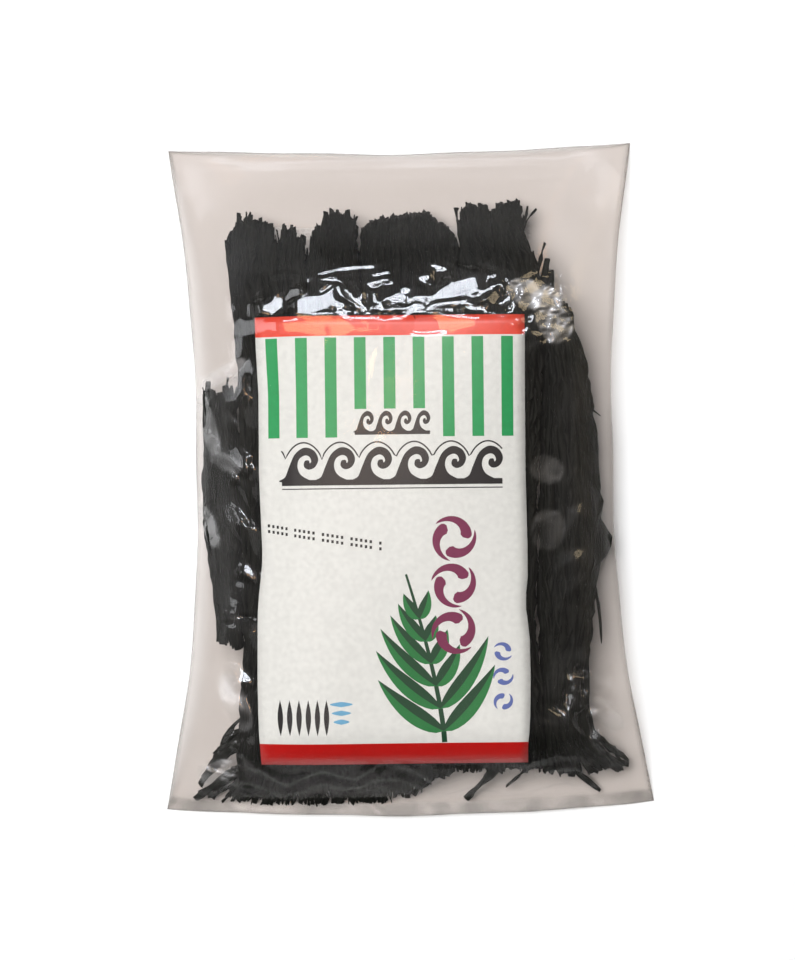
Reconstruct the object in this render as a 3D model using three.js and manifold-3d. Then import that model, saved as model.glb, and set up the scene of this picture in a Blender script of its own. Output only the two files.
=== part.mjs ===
// A packet of dried wakame, lying on its back: a clear film bag, a paper label under its front film, and
// bunches of dried seaweed strips in two layers. Millimetres. +X is the packet's right, +Y its top, +Z up.
// The origin is on the table, under the middle of the packet.
import * as THREE from "three";
import { mergeVertices } from "three/addons/utils/BufferGeometryUtils.js";
import Module from "manifold-3d";

const wasm = await Module();
wasm.setup();

// Bag: a tube of film 150 mm wide when flat, drawn in at the waist by what fills it.
const BAG_WAIST_HALF = 63.8;
const BAG_TOP_HALF = 71.6;
const BAG_BOTTOM_HALF = 75;
const BAG_WAIST_Y = 5;
const FLARE_POWER = 2.4; // how late the sides swing out towards the corners
const BAG_CORNER_TOP_Y = 103.5;
const BAG_CORNER_BOTTOM_Y = -100.5;
const TOP_EDGE_SAG = 2.8;
const BOTTOM_EDGE_BULGE = 3;
const FILM_THICK = 0.6; // real film is 0.04 mm; this is the least that stays a sound solid
const WEB_GAP = 0.5;

// How high the seams stand off the table, and the height of the stuffed part.
const SIDE_SEAM_HEIGHT = 8;
const TOP_SEAM_HEIGHT = 3;
const BOTTOM_SEAM_HEIGHT = 2.4;
const FLAT_SHARE = 0.62; // the back film lies flat out to this share of the half width and half length
const FILL_HEIGHT = 26;
const SIDE_FULLNESS = 4.5;
const TOP_SLOPE_START_Y = 44;
const TOP_SLOPE_LENGTH = 50;
const BOTTOM_SLOPE_START_Y = -98.5;
const BOTTOM_SLOPE_LENGTH = 23;
const LUMP_HEIGHT = 0.7;
const LUMP_RUN_X = 13; // the lumps' waves, as lengths per radian
const LUMP_RUN_Y = 21;
const FRONT_GRID = [18, 30];
const BACK_GRID = [14, 16];

// Label: one sheet of paper, a little askew in the bag.
const LABEL_WIDTH = 80;
const LABEL_LENGTH = 134;
const LABEL_CENTRE = new THREE.Vector2(-4.2, -18.3);
const LABEL_TURN = THREE.MathUtils.degToRad(-0.4);
const LABEL_THICK = 0.6;
const LABEL_CLEARANCE = 0.9;
const LABEL_GRID = [10, 16];

// Wakame: what it keeps clear of the films and the label, and where its two layers part.
const CEILING_CLEARANCE = 2.4;
const FLOOR_CLEARANCE = 0.7;
const LEAST_ROOM = 0.9;
const UNDER_LAYER = [0, 0.42];
const TOP_LAYER = [0.47, 1];
const BOTH_LAYERS = [0, 1];
const SECTIONS = 9;
const SECTION_SQUARENESS = 0.55;
const CORE_SIDES = 12;
const CORE_DEPTH = 1; // how far the core lies behind the strips on its skin
const CORE_LEAST_REACH = 0.3;
const END_THINNING = 0.2; // a cut end is thinner than the next section by this share
const BEND_STEPS = [0.4, 0.7, 0.88, 0.97]; // sections through a folded end, as shares of its length
const BEND_SQUARENESS = 2.8; // 2 would be an elliptical bend
const STRIP_THICK = 1.3;
const STRIP_TIP = 0.6; // width of a strip's tip, as a share of its own
const TOP_PITCH = 5.4; // from strip to strip across a bunch
const UNDER_PITCH = 7.5;
const STRIP_WIDTHS = [0.8, 1.25]; // least and most, as shares of the pitch
const WANDER = 0.12; // sideways, as a share of the bunch's half width
const WANDER_RUN = 15;
const DIP = 0.35;
const DIP_RUN = 9;
const FRINGE_ROOT = 7; // how far a loose end starts inside the bunch
const FRINGE_SPREAD_START = 2; // and where it starts to lean
const FRINGE_WIDTHS = [1.7, 3.1];
const FRINGE_SHARES = [0.2, 0.8]; // of the layer's height
const FRINGE_JITTER = 0.12;
const SLIVER = 0.2; // faces thinner than this are merged away once a bunch is fused

// A repeatable random draw between 0 and 1.
function randomFrom(seed) {
  let state = seed * 2654435761;
  return () => {
    state = (state + 0x6d2b79f5) | 0;
    let mixed = Math.imul(state ^ (state >>> 15), 1 | state);
    mixed = (mixed + Math.imul(mixed ^ (mixed >>> 7), 61 | mixed)) ^ mixed;
    return ((mixed ^ (mixed >>> 14)) >>> 0) / 4294967296;
  };
}

const { clamp, lerp, smoothstep } = THREE.MathUtils;

// Plan of the bag: half its width at y, and its top and bottom edges at share u of the half width.
function halfWidth(y) {
  const up = y > BAG_WAIST_Y;
  const reach = up ? BAG_CORNER_TOP_Y - BAG_WAIST_Y : BAG_WAIST_Y - BAG_CORNER_BOTTOM_Y;
  const flare = (up ? BAG_TOP_HALF : BAG_BOTTOM_HALF) - BAG_WAIST_HALF;
  return BAG_WAIST_HALF + flare * Math.min(1, Math.abs(y - BAG_WAIST_Y) / reach) ** FLARE_POWER;
}

const topEdge = (u) => BAG_CORNER_TOP_Y - TOP_EDGE_SAG * (1 - u * u);
const bottomEdge = (u) => BAG_CORNER_BOTTOM_Y - BOTTOM_EDGE_BULGE * (1 - u * u);

// The underside of the back film: flat where it lies on the table, turned up towards the seams.
function backHeight(x, y) {
  const u = clamp(x / halfWidth(y), -1, 1);
  const v = clamp((2 * (y - bottomEdge(u))) / (topEdge(u) - bottomEdge(u)) - 1, -1, 1);
  const side = smoothstep(Math.abs(u), FLAT_SHARE, 1) * (1 - v ** 4);
  const end = smoothstep(Math.abs(v), FLAT_SHARE + 0.16, 1) * (1 - u ** 4);
  return SIDE_SEAM_HEIGHT * side + (v > 0 ? TOP_SEAM_HEIGHT : BOTTOM_SEAM_HEIGHT) * end;
}

// How far the front film stands above the back film.
function fillHeight(x, y) {
  const u = clamp(x / halfWidth(y), -1, 1);
  const across = 1 - Math.abs(u) ** SIDE_FULLNESS;
  const fall = clamp((y - TOP_SLOPE_START_Y) / TOP_SLOPE_LENGTH, 0, 1);
  const top = Math.cos((fall * Math.PI) / 2);
  const rise = clamp((y - BOTTOM_SLOPE_START_Y) / BOTTOM_SLOPE_LENGTH, 0, 1);
  const bottom = Math.sin((rise * Math.PI) / 2);
  const lumps = LUMP_HEIGHT * Math.sin(x / LUMP_RUN_X + 1) * Math.cos(y / LUMP_RUN_Y);
  return (FILL_HEIGHT + lumps) * across * top * bottom;
}

const frontInside = (x, y) => backHeight(x, y) + FILM_THICK + WEB_GAP + fillHeight(x, y);

// The room that the wakame may fill.
const ceiling = (x, y) => Math.max(frontInside(x, y) - CEILING_CLEARANCE, floor(x, y) + LEAST_ROOM);
const floor = (x, y) => backHeight(x, y) + FILM_THICK + FLOOR_CLEARANCE;

// A closed geometry from its corner points and its triangles.
function closed(points, triangles) {
  const geometry = new THREE.BufferGeometry();
  geometry.setAttribute("position", new THREE.Float32BufferAttribute(points.flat(), 3));
  geometry.setIndex(triangles.flat());
  return geometry;
}

// A thin curved sheet: under(a, b) and over(a, b) give its two faces for a and b from -1 to 1.
function sheet([columns, rows], under, over) {
  const points = [];
  const at = (i, j, face) => (j * (columns + 1) + i) * 2 + face;
  for (let j = 0; j <= rows; j++)
    for (let i = 0; i <= columns; i++) {
      const a = crowded((2 * i) / columns - 1);
      const b = crowded((2 * j) / rows - 1);
      points.push(under(a, b), over(a, b));
    }
  const triangles = [];
  const quad = (p, q, r, s) => triangles.push([p, q, r], [p, r, s]);
  for (let j = 0; j < rows; j++)
    for (let i = 0; i < columns; i++) {
      quad(at(i, j, 1), at(i + 1, j, 1), at(i + 1, j + 1, 1), at(i, j + 1, 1));
      triangles.push([at(i, j, 0), at(i + 1, j + 1, 0), at(i + 1, j, 0)]);
      triangles.push([at(i, j, 0), at(i, j + 1, 0), at(i + 1, j + 1, 0)]);
    }
  for (let i = 0; i < columns; i++) {
    quad(at(i, 0, 0), at(i + 1, 0, 0), at(i + 1, 0, 1), at(i, 0, 1));
    quad(at(i + 1, rows, 0), at(i, rows, 0), at(i, rows, 1), at(i + 1, rows, 1));
  }
  for (let j = 0; j < rows; j++) {
    quad(at(0, j + 1, 0), at(0, j, 0), at(0, j, 1), at(0, j + 1, 1));
    quad(at(columns, j, 0), at(columns, j + 1, 0), at(columns, j + 1, 1), at(columns, j, 1));
  }
  return closed(points, triangles);
}

// Samples closer together towards the edges, where the film curves most.
const CROWDING = 0.62;
const crowded = (s) => lerp(s, Math.sin((s * Math.PI) / 2), CROWDING);

function bagPoint(u, v) {
  const y = lerp(bottomEdge(u), topEdge(u), (v + 1) / 2);
  return [u * halfWidth(y), y];
}

function film(grid, height) {
  const face = (lift) => (u, v) => {
    const [x, y] = bagPoint(u, v);
    return [x, y, height(x, y) + lift];
  };
  return sheet(grid, face(0), face(FILM_THICK));
}

function labelSheet() {
  const face = (lift) => (a, b) => {
    const flat = new THREE.Vector2((a * LABEL_WIDTH) / 2, (b * LABEL_LENGTH) / 2);
    const { x, y } = flat.rotateAround(new THREE.Vector2(), LABEL_TURN).add(LABEL_CENTRE);
    return [x, y, frontInside(x, y) - LABEL_CLEARANCE - LABEL_THICK + lift];
  };
  return sheet(LABEL_GRID, face(0), face(LABEL_THICK));
}

// A lofted body through rings of equally many points, closed by flat ends.
function loft(rings) {
  const sides = rings[0].length;
  const triangles = [];
  for (let j = 0; j + 1 < rings.length; j++)
    for (let i = 0; i < sides; i++) {
      const [a, b] = [j * sides + i, j * sides + ((i + 1) % sides)];
      triangles.push([a, b, b + sides], [a, b + sides, a + sides]);
    }
  const last = (rings.length - 1) * sides;
  for (let i = 1; i + 1 < sides; i++) {
    triangles.push([0, i + 1, i]);
    triangles.push([last, last + i, last + i + 1]);
  }
  return closed(rings.flat(), triangles);
}

function solidOf(geometry) {
  const merged = mergeVertices(geometry, 1e-4);
  const mesh = new wasm.Mesh({
    numProp: 3,
    vertProperties: merged.attributes.position.array,
    triVerts: new Uint32Array(merged.index.array),
  });
  return new wasm.Manifold(mesh);
}

function geometryOf(solid) {
  const { vertProperties, triVerts } = solid.getMesh();
  const geometry = new THREE.BufferGeometry();
  geometry.setAttribute("position", new THREE.BufferAttribute(vertProperties, 3));
  geometry.setIndex(new THREE.BufferAttribute(triVerts, 1));
  geometry.computeVertexNormals();
  return geometry;
}

// The height of the room that a bunch's layer leaves it at x, y.
function roomOf(bunch, x, y) {
  const [low, high] = bunch.layer.map((share) => lerp(floor(x, y), ceiling(x, y), share));
  return { middle: (low + high) / 2, reach: (high - low) / 2 };
}

// A bunch runs through stations of [y, centre x, half width], from its lower to its upper end. Its sections
// follow them. A cut end is a little thinner, and a folded end closes in a round bend.
function sectionsOf(bunch) {
  const line = new THREE.CatmullRomCurve3(
    bunch.stations.map(([y, x, half]) => new THREE.Vector3(x, y, half)),
    false,
    "centripetal",
  );
  const sections = [];
  for (let k = 0; k <= SECTIONS; k++) {
    const at = line.getPoint(k / SECTIONS);
    const fromEnd = Math.min(k, bunch.bend ? SECTIONS : SECTIONS - k);
    const thin = Math.min(1, 1 - END_THINNING * (1 - fromEnd));
    sections.push({ y: at.y, centre: at.x, half: at.z, thin });
  }
  const end = line.getPoint(1);
  for (const step of bunch.bend ? BEND_STEPS : []) {
    const round = (1 - step ** BEND_SQUARENESS) ** (1 / BEND_SQUARENESS);
    sections.push({ y: end.y + bunch.bend * step, centre: end.x, half: end.z * round, thin: round ** 0.5 });
  }
  return sections;
}

// The core is a rounded slab that the strips stand out of on both sides.
function coreOf(bunch, sections) {
  const rounded = (c) => Math.sign(c) * Math.abs(c) ** SECTION_SQUARENESS;
  const rings = sections.map(({ y, centre, half, thin }) => {
    const ring = [];
    for (let i = 0; i < CORE_SIDES; i++) {
      const angle = (-2 * Math.PI * i) / CORE_SIDES;
      const x = centre + rounded(Math.cos(angle)) * Math.max(half - CORE_DEPTH, half * 0.5);
      const { middle, reach } = roomOf(bunch, x, y);
      const rise = Math.max(reach * thin - CORE_DEPTH, CORE_LEAST_REACH);
      ring.push([x, y, middle + rounded(Math.sin(angle)) * rise]);
    }
    return ring;
  });
  return loft(rings);
}

// A strip is a three-sided blade through points [x, y, z], a little narrower at its cut tip. Its ridge is
// on the side given: 1 for up, -1 for down.
function strip(points, width, thick, side) {
  const rings = points.map(([x, y, z], k) => {
    const [before, after] = [points[Math.max(k - 1, 0)], points[Math.min(k + 1, points.length - 1)]];
    const along = new THREE.Vector2(after[0] - before[0], after[1] - before[1]).normalize();
    const half = (width / 2) * (k === points.length - 1 ? STRIP_TIP : 1);
    const corner = (s, t) => [x - along.y * half * s, y + along.x * half * s, z + (thick / 2) * t];
    return [corner(-side, -side), corner(side, -side), corner(0, side)];
  });
  return loft(rings);
}

// Strips that lie along the bunch from end to end, half sunk in its core, and wander a little.
function longStrips(bunch, sections, side, random) {
  const widest = Math.max(...sections.map(({ half }) => half));
  const count = Math.round((2 * widest) / bunch.pitch);
  const strips = [];
  for (let n = 0; n < count; n++) {
    const place = ((n + 0.5) / count) * 2 - 1;
    const phase = random() * 2 * Math.PI;
    const width = bunch.pitch * lerp(...STRIP_WIDTHS, random());
    const points = sections.map(({ y, centre, half, thin }) => {
      const span = half - width / 2;
      const across = (clamp(place + WANDER * Math.sin(y / WANDER_RUN + phase), -1, 1) * span) / half;
      const x = centre + across * half;
      const { middle, reach } = roomOf(bunch, x, y);
      const bulge = (1 - Math.abs(across) ** (2 / SECTION_SQUARENESS)) ** (SECTION_SQUARENESS / 2);
      const dip = DIP * (1 + Math.sin(y / DIP_RUN + 2 * phase));
      const height = Math.max(reach * thin * bulge - STRIP_THICK / 2 - dip, 0.2);
      return [x, y, middle + side * height];
    });
    strips.push(strip(points, width, STRIP_THICK, side));
  }
  return strips;
}

// A loose strip goes through points [x, y, share of the layer's height], clear of film and label.
function looseStrip(bunch, through, width, side) {
  const points = through.map(([x, y, share]) => {
    const { middle, reach } = roomOf(bunch, x, y);
    const z = middle + (2 * share - 1) * reach;
    return [x, y, clamp(z, floor(x, y) + STRIP_THICK / 2, ceiling(x, y) - STRIP_THICK / 2)];
  });
  return strip(points, width, STRIP_THICK, side);
}

// The cut ends of a bunch: strips that start inside its core and fan out past its end.
function endStrips(bunch, end, random) {
  const [y, centre, half] = end.up ? bunch.stations.at(-1) : bunch.stations[0];
  const way = end.up ? 1 : -1;
  const strips = [];
  for (let k = 0; k < end.count; k++) {
    const place = ((k + 0.5) / end.count) * 2 - 1 + (random() - 0.5) * FRINGE_JITTER;
    const reach = lerp(end.shortest, end.longest, random()) + end.slant * place;
    const lean = end.lean + place * end.fan + (random() - 0.5) * end.ragged;
    const width = lerp(...FRINGE_WIDTHS, random());
    const share = lerp(...FRINGE_SHARES, random());
    const root = centre + place * Math.max(half - width / 2 - 1, 0.5);
    const through = [0, 0.4, 0.7, 1].map((t) => {
      const run = lerp(-FRINGE_ROOT, reach, t);
      const away = Math.max(run + FRINGE_SPREAD_START, 0);
      return [root + lean * away, y + way * run, share];
    });
    strips.push(looseStrip(bunch, through, width, random() < 0.5 ? -1 : 1));
  }
  return strips;
}

function bunchSolid(bunch) {
  const random = randomFrom(bunch.seed);
  const sections = sectionsOf(bunch);
  const strips = [
    ...bunch.sides.flatMap((side) => longStrips(bunch, sections, side, random)),
    ...bunch.ends.flatMap((end) => endStrips(bunch, end, random)),
    ...(bunch.strays ?? []).map(({ through, width }) => looseStrip(bunch, through, width, 1)),
  ];
  const core = solidOf(coreOf(bunch, sections));
  const whole = strips.reduce((joined, blade) => joined.add(solidOf(blade)), core).simplify(SLIVER);
  // Hollows closed in where strips cross come apart as bodies of their own, and are left out.
  return whole.decompose().reduce((best, one) => (one.volume() > best.volume() ? one : best));
}

const UP = 1;
const DOWN = -1;
const CUT_TOP = { up: true, count: 8, shortest: 2, longest: 7, slant: 0, lean: 0, fan: 0.1, ragged: 0.25 };
const CUT_BOTTOM = { ...CUT_TOP, up: false, count: 6, shortest: 1, longest: 3.5, fan: 0.12, ragged: 0.4 };

const BUNCHES = [
  {
    name: "wakame_left",
    seed: 11,
    layer: TOP_LAYER,
    pitch: TOP_PITCH,
    sides: [UP],
    stations: [
      [-93.5, -38.5, 14.5],
      [-75, -36, 14.6],
      [-40, -34.4, 14.6],
      [0, -35, 14.2],
      [35, -37.6, 11.4],
      [60, -40.9, 10.8],
      [74, -40.4, 11.6],
    ],
    ends: [
      { ...CUT_TOP, slant: -2.5 },
      { ...CUT_BOTTOM, lean: -0.25, fan: 0.5 },
    ],
    strays: [
      { through: [[-46, -80, 0.4], [-52, -86, 0.3], [-58, -91, 0.3], [-65, -95.5, 0.4]], width: 3.4 },
      { through: [[-44, -74, 0.3], [-51, -80, 0.3], [-57, -86, 0.3], [-61.5, -92, 0.4]], width: 3.6 },
      { through: [[-47, 62, 0.4], [-52, 65, 0.4], [-54.2, 69, 0.4], [-53.6, 74, 0.4]], width: 2.2 },
    ],
  },
  {
    name: "wakame_left_middle",
    seed: 23,
    layer: TOP_LAYER,
    pitch: TOP_PITCH,
    sides: [UP],
    stations: [
      [-94, -14.6, 8],
      [-75, -13.2, 7.4],
      [-40, -12.4, 6.4],
      [0, -13, 6.8],
      [30, -17.8, 7.6],
      [55, -20.8, 7.8],
      [72, -20.4, 6.6],
    ],
    ends: [
      { ...CUT_TOP, count: 7, shortest: 3.5, longest: 9, slant: 2 },
      { ...CUT_BOTTOM, count: 6 },
    ],
  },
  {
    name: "wakame_folded",
    seed: 37,
    layer: TOP_LAYER,
    pitch: TOP_PITCH,
    sides: [UP],
    bend: 19.8,
    stations: [
      [-93.5, 4.6, 10.2],
      [-75, 5.2, 10.4],
      [-40, 5, 10.4],
      [0, 4.8, 10.4],
      [35, 3.8, 13.4],
      [62, 2.4, 14.8],
    ],
    ends: [{ ...CUT_BOTTOM, lean: 0.3 }],
  },
  {
    name: "wakame_right",
    seed: 41,
    layer: TOP_LAYER,
    pitch: TOP_PITCH,
    sides: [UP],
    stations: [
      [-92, 28.2, 12],
      [-75, 28, 11.8],
      [-40, 27.6, 11.4],
      [0, 27.8, 11.6],
      [38, 30.2, 11.6],
      [60, 30.4, 11.8],
      [78, 26.8, 9.2],
    ],
    ends: [
      { ...CUT_TOP, shortest: 3, longest: 6.5 },
      { ...CUT_BOTTOM, lean: 0.2, fan: 0.3 },
    ],
    strays: [
      { through: [[34.5, 64, 0.5], [36.6, 71, 0.5], [37.8, 77.4, 0.5], [41.8, 82.6, 0.5]], width: 1.8 },
      { through: [[37.5, 52, 0.5], [39.8, 58, 0.5], [41.8, 64, 0.5], [43.6, 70.8, 0.5]], width: 2.2 },
    ],
  },
  {
    name: "wakame_outer_right",
    seed: 53,
    layer: BOTH_LAYERS,
    pitch: TOP_PITCH,
    sides: [UP, DOWN],
    stations: [
      [-84, 51, 9.6],
      [-65, 47.2, 6.4],
      [-45, 48.4, 8],
      [-20, 50, 9.4],
      [0, 49.8, 8.9],
      [25, 49.8, 7],
      [38, 48.6, 5.8],
      [46, 47.3, 4],
      [53, 46.4, 2.2],
    ],
    ends: [
      { ...CUT_TOP, count: 3, shortest: 1, longest: 3 },
      { ...CUT_BOTTOM, count: 6, shortest: 3, longest: 9, lean: 0.45, fan: 0.55 },
    ],
    strays: [
      { through: [[53, -12, 0.5], [58, -16, 0.5], [60, -19, 0.5], [61, -20.5, 0.5]], width: 4 },
      { through: [[54, 24, 0.5], [56.5, 21, 0.5], [58, 19.5, 0.5], [59.5, 19, 0.5]], width: 1.8 },
      { through: [[55, -25, 0.5], [57.4, -33, 0.5], [58.4, -42, 0.5], [58.8, -51, 0.5]], width: 1.7 },
    ],
  },
  {
    name: "wakame_outer_left",
    seed: 67,
    layer: BOTH_LAYERS,
    pitch: TOP_PITCH,
    sides: [UP],
    stations: [
      [-46, -53.4, 2.8],
      [-28, -54.9, 4.6],
      [-10, -55.6, 5.8],
      [10, -55.5, 5.4],
      [26, -55.7, 4.6],
    ],
    ends: [
      { ...CUT_TOP, count: 5, shortest: 1, longest: 5 },
      { ...CUT_BOTTOM, count: 4 },
    ],
  },
  {
    name: "wakame_under_left",
    seed: 71,
    layer: UNDER_LAYER,
    pitch: UNDER_PITCH,
    sides: [DOWN],
    stations: [
      [-90, -25.4, 23.4],
      [-40, -24.4, 22],
      [0, -24.4, 21.6],
      [30, -25.4, 20.4],
      [68, -28, 18.4],
    ],
    ends: [
      { ...CUT_TOP, count: 5 },
      { ...CUT_BOTTOM, count: 5 },
    ],
  },
  {
    name: "wakame_under_right",
    seed: 83,
    layer: UNDER_LAYER,
    pitch: UNDER_PITCH,
    sides: [DOWN],
    stations: [
      [-90, 19.2, 19.2],
      [-40, 18.8, 19],
      [0, 18.8, 18.8],
      [30, 18.6, 19.4],
      [68, 17, 19.6],
    ],
    ends: [
      { ...CUT_TOP, count: 5 },
      { ...CUT_BOTTOM, count: 5 },
    ],
  },
];

const clearFilm = new THREE.MeshStandardMaterial({
  color: 0xdedad6,
  roughness: 0.12,
  metalness: 0,
  transparent: true,
  opacity: 0.25,
});
const paper = new THREE.MeshStandardMaterial({ color: 0xf1efec, roughness: 0.6, metalness: 0 });
const driedWeed = new THREE.MeshStandardMaterial({ color: 0x22251f, roughness: 0.7, metalness: 0 });

function named(name, geometry, material) {
  const mesh = new THREE.Mesh(geometry, material);
  mesh.name = name;
  return mesh;
}

const bag = new THREE.Group();
bag.add(named("bag_back_film", film(BACK_GRID, backHeight), clearFilm));
bag.add(named("bag_front_film", film(FRONT_GRID, frontInside), clearFilm));

const wakame = new THREE.Group();
for (const bunch of BUNCHES) wakame.add(named(bunch.name, geometryOf(bunchSolid(bunch)), driedWeed));

const packet = new THREE.Group();
packet.add(bag, wakame, named("label", labelSheet(), paper));

export default packet;
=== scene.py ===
# %% [markdown]
# # A packet of dried wakame
# The real thing is a clear film bag, sealed flat at its top and bottom. Bunches of dried seaweed strips fill
# it, and a printed paper label lies under its front film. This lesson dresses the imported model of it:
# the film gets its creases, the bunches get their single strips, and the label gets a print.
# Lengths in this file are in millimetres, and are turned to metres where a mesh is made.

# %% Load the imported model
import math

import bmesh
import bpy
import numpy as np
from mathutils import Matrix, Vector
from mathutils.geometry import delaunay_2d_cdt


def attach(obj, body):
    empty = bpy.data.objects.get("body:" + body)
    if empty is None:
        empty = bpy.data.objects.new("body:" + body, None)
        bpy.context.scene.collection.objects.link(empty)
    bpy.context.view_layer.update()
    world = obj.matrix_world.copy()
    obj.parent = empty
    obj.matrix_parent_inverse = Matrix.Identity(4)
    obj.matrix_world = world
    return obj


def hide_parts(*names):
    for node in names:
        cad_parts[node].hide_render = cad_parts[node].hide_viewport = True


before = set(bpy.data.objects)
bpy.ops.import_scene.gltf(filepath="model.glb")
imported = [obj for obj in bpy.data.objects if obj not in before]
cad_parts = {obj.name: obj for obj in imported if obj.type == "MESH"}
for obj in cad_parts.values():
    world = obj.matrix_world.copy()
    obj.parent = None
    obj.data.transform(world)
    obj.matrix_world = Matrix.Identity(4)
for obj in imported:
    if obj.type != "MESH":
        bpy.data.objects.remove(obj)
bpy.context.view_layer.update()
MM = 0.001
print("nodes:", sorted(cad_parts))

# %% [markdown]
# ## The camera
# The photograph looks straight down on the packet. A camera 65 cm above the table, with a lens that shows
# 0.31 mm of table in each pixel, gives the same picture. The packet lies a little askew in it. The camera is
# rolled by that angle, because the packet itself must stay where the model has it.

# %% Make the camera
PHOTO_SIZE = (795, 960)
MM_PER_PIXEL = 0.31
CAMERA_DISTANCE = 650
CAMERA_ELEVATION = math.radians(89)
PACKET_ASKEW = math.radians(1.0)
PICTURE_CENTRE = (-2.3, 0.0, 0.0)

camera_data = bpy.data.cameras.new("camera")
camera = bpy.data.objects.new("camera", camera_data)
bpy.context.scene.collection.objects.link(camera)
camera_data.sensor_width = 36
camera_data.lens = 36 * CAMERA_DISTANCE / (PHOTO_SIZE[1] * MM_PER_PIXEL)
camera_data.clip_start = 0.01
away = Vector((0, -math.cos(CAMERA_ELEVATION), math.sin(CAMERA_ELEVATION)))
camera_place = Vector(PICTURE_CENTRE) + away * CAMERA_DISTANCE
camera.location = camera_place * MM
camera.rotation_euler = (-away).to_track_quat("-Z", "Y").to_euler()
camera.rotation_euler.rotate_axis("Z", -PACKET_ASKEW)
bpy.context.scene.camera = camera
bpy.context.scene.view_settings.view_transform = "Standard"
print(f"lens {camera_data.lens:.1f} mm")

# %% [markdown]
# ## Helpers for materials
# Every finish below is a small node tree. One function turns a screen colour into the linear numbers that
# Blender works with, and one adds a node with its settings and links.

# %% Colours and nodes
def linear(hex_colour):
    """An sRGB colour such as #22251F as linear red, green, blue and alpha."""
    parts = [int(hex_colour[i : i + 2], 16) / 255 for i in (1, 3, 5)]
    return tuple(c / 12.92 if c <= 0.04045 else ((c + 0.055) / 1.055) ** 2.4 for c in parts) + (1.0,)


def add(tree, kind, inputs=None, **settings):
    """Adds a node. An input given as a socket is linked, and any other value is set."""
    node = tree.nodes.new(kind)
    for name, value in settings.items():
        setattr(node, name, value)
    for key, value in (inputs or {}).items():
        if isinstance(value, bpy.types.NodeSocket):
            tree.links.new(value, node.inputs[key])
        else:
            node.inputs[key].default_value = value
    return node


def new_material(name):
    """A material with an empty tree, and its output node."""
    material = bpy.data.materials.new(name)
    material.use_nodes = True
    material.node_tree.nodes.clear()
    return material, material.node_tree, add(material.node_tree, "ShaderNodeOutputMaterial")


def grain(tree, size, detail=3.0):
    """A random pattern on object coordinates, whose grain is size in millimetres along each axis."""
    place = add(tree, "ShaderNodeTexCoord").outputs["Object"]
    scale = [1 / (s * MM) for s in size]
    space = add(tree, "ShaderNodeMapping", {"Vector": place, "Scale": scale}).outputs["Vector"]
    return add(tree, "ShaderNodeTexNoise", {"Vector": space, "Scale": 1.0, "Detail": detail}).outputs[0]


print("screen grey #808080 as linear:", round(linear("#808080")[0], 3))

# %% [markdown]
# ## Helpers for meshes
# The meshes below are worked out with numpy, in millimetres. One function turns points and faces into an
# object at the origin, with its place in its mesh. Another fades one thing into the next, and is used all
# over the bag.

# %% Meshes from points
def make_object(name, points, faces, materials, smooth=True):
    """A mesh object from points in millimetres."""
    mesh = bpy.data.meshes.new(name)
    mesh.from_pydata((np.asarray(points) * MM).tolist(), [], [list(map(int, f)) for f in faces])
    for material in materials:
        mesh.materials.append(material)
    if smooth:
        mesh.shade_smooth()
    piece = bpy.data.objects.new(name, mesh)
    bpy.context.scene.collection.objects.link(piece)
    return piece


def smoothstep(value, low, high):
    """0 below low, 1 above high, and a smooth rise between them."""
    t = np.clip((value - low) / (high - low), 0, 1)
    return t * t * (3 - 2 * t)


print("smoothstep at a quarter of the way:", float(smoothstep(0.25, 0, 1)))

# %% [markdown]
# ## Table and light
# The table is board painted matt white, so it mirrors next to nothing. A broad key light above it lights the
# table and the strips, and is kept out of reflections. The other lights are only seen in reflections. A
# window beyond the packet's top edge, a card to the left, a warm card to the upper right and an orange lamp
# overhead glint in the film, and a dim ceiling and two dim walls give it a faint sheen. The film's facets
# are turned towards some of them further down, so the places of all are kept by name.

# %% Stage and lights
def white_table():
    material, tree, output = new_material("studio_table_white")
    table = add(tree, "ShaderNodeBsdfPrincipled", {"Base Color": linear("#F4F4F4"), "Roughness": 0.8})
    tree.links.new(table.outputs[0], output.inputs["Surface"])
    return material


TABLE_HALF = 3000
table_corners = [(x * TABLE_HALF, y * TABLE_HALF, 0) for x, y in ((-1, -1), (1, -1), (1, 1), (-1, 1))]
table_top = make_object("table", table_corners, [(0, 1, 2, 3)], [white_table()], smooth=False)


def area_light(name, direction, distance, size, power, hex_colour, glints=True):
    """A soft light, seen only in reflections or, without glints, only out of them. Gives its place."""
    data = bpy.data.lights.new(name, "AREA")
    data.shape = "RECTANGLE"
    data.size = size[0] * MM
    data.size_y = size[1] * MM
    data.energy = power
    data.color = linear(hex_colour)[:3]
    light = bpy.data.objects.new(name, data)
    light.visible_glossy = glints
    light.visible_diffuse = not glints
    bpy.context.scene.collection.objects.link(light)
    way = Vector(direction).normalized()
    light.location = way * distance * MM
    light.rotation_euler = (-way).to_track_quat("-Z", "Y").to_euler()
    return np.array(way) * distance


area_light("key", (-0.3, 0.16, 0.94), 1550, (1100, 1100), 35, "#FFFFFF", glints=False)

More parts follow.
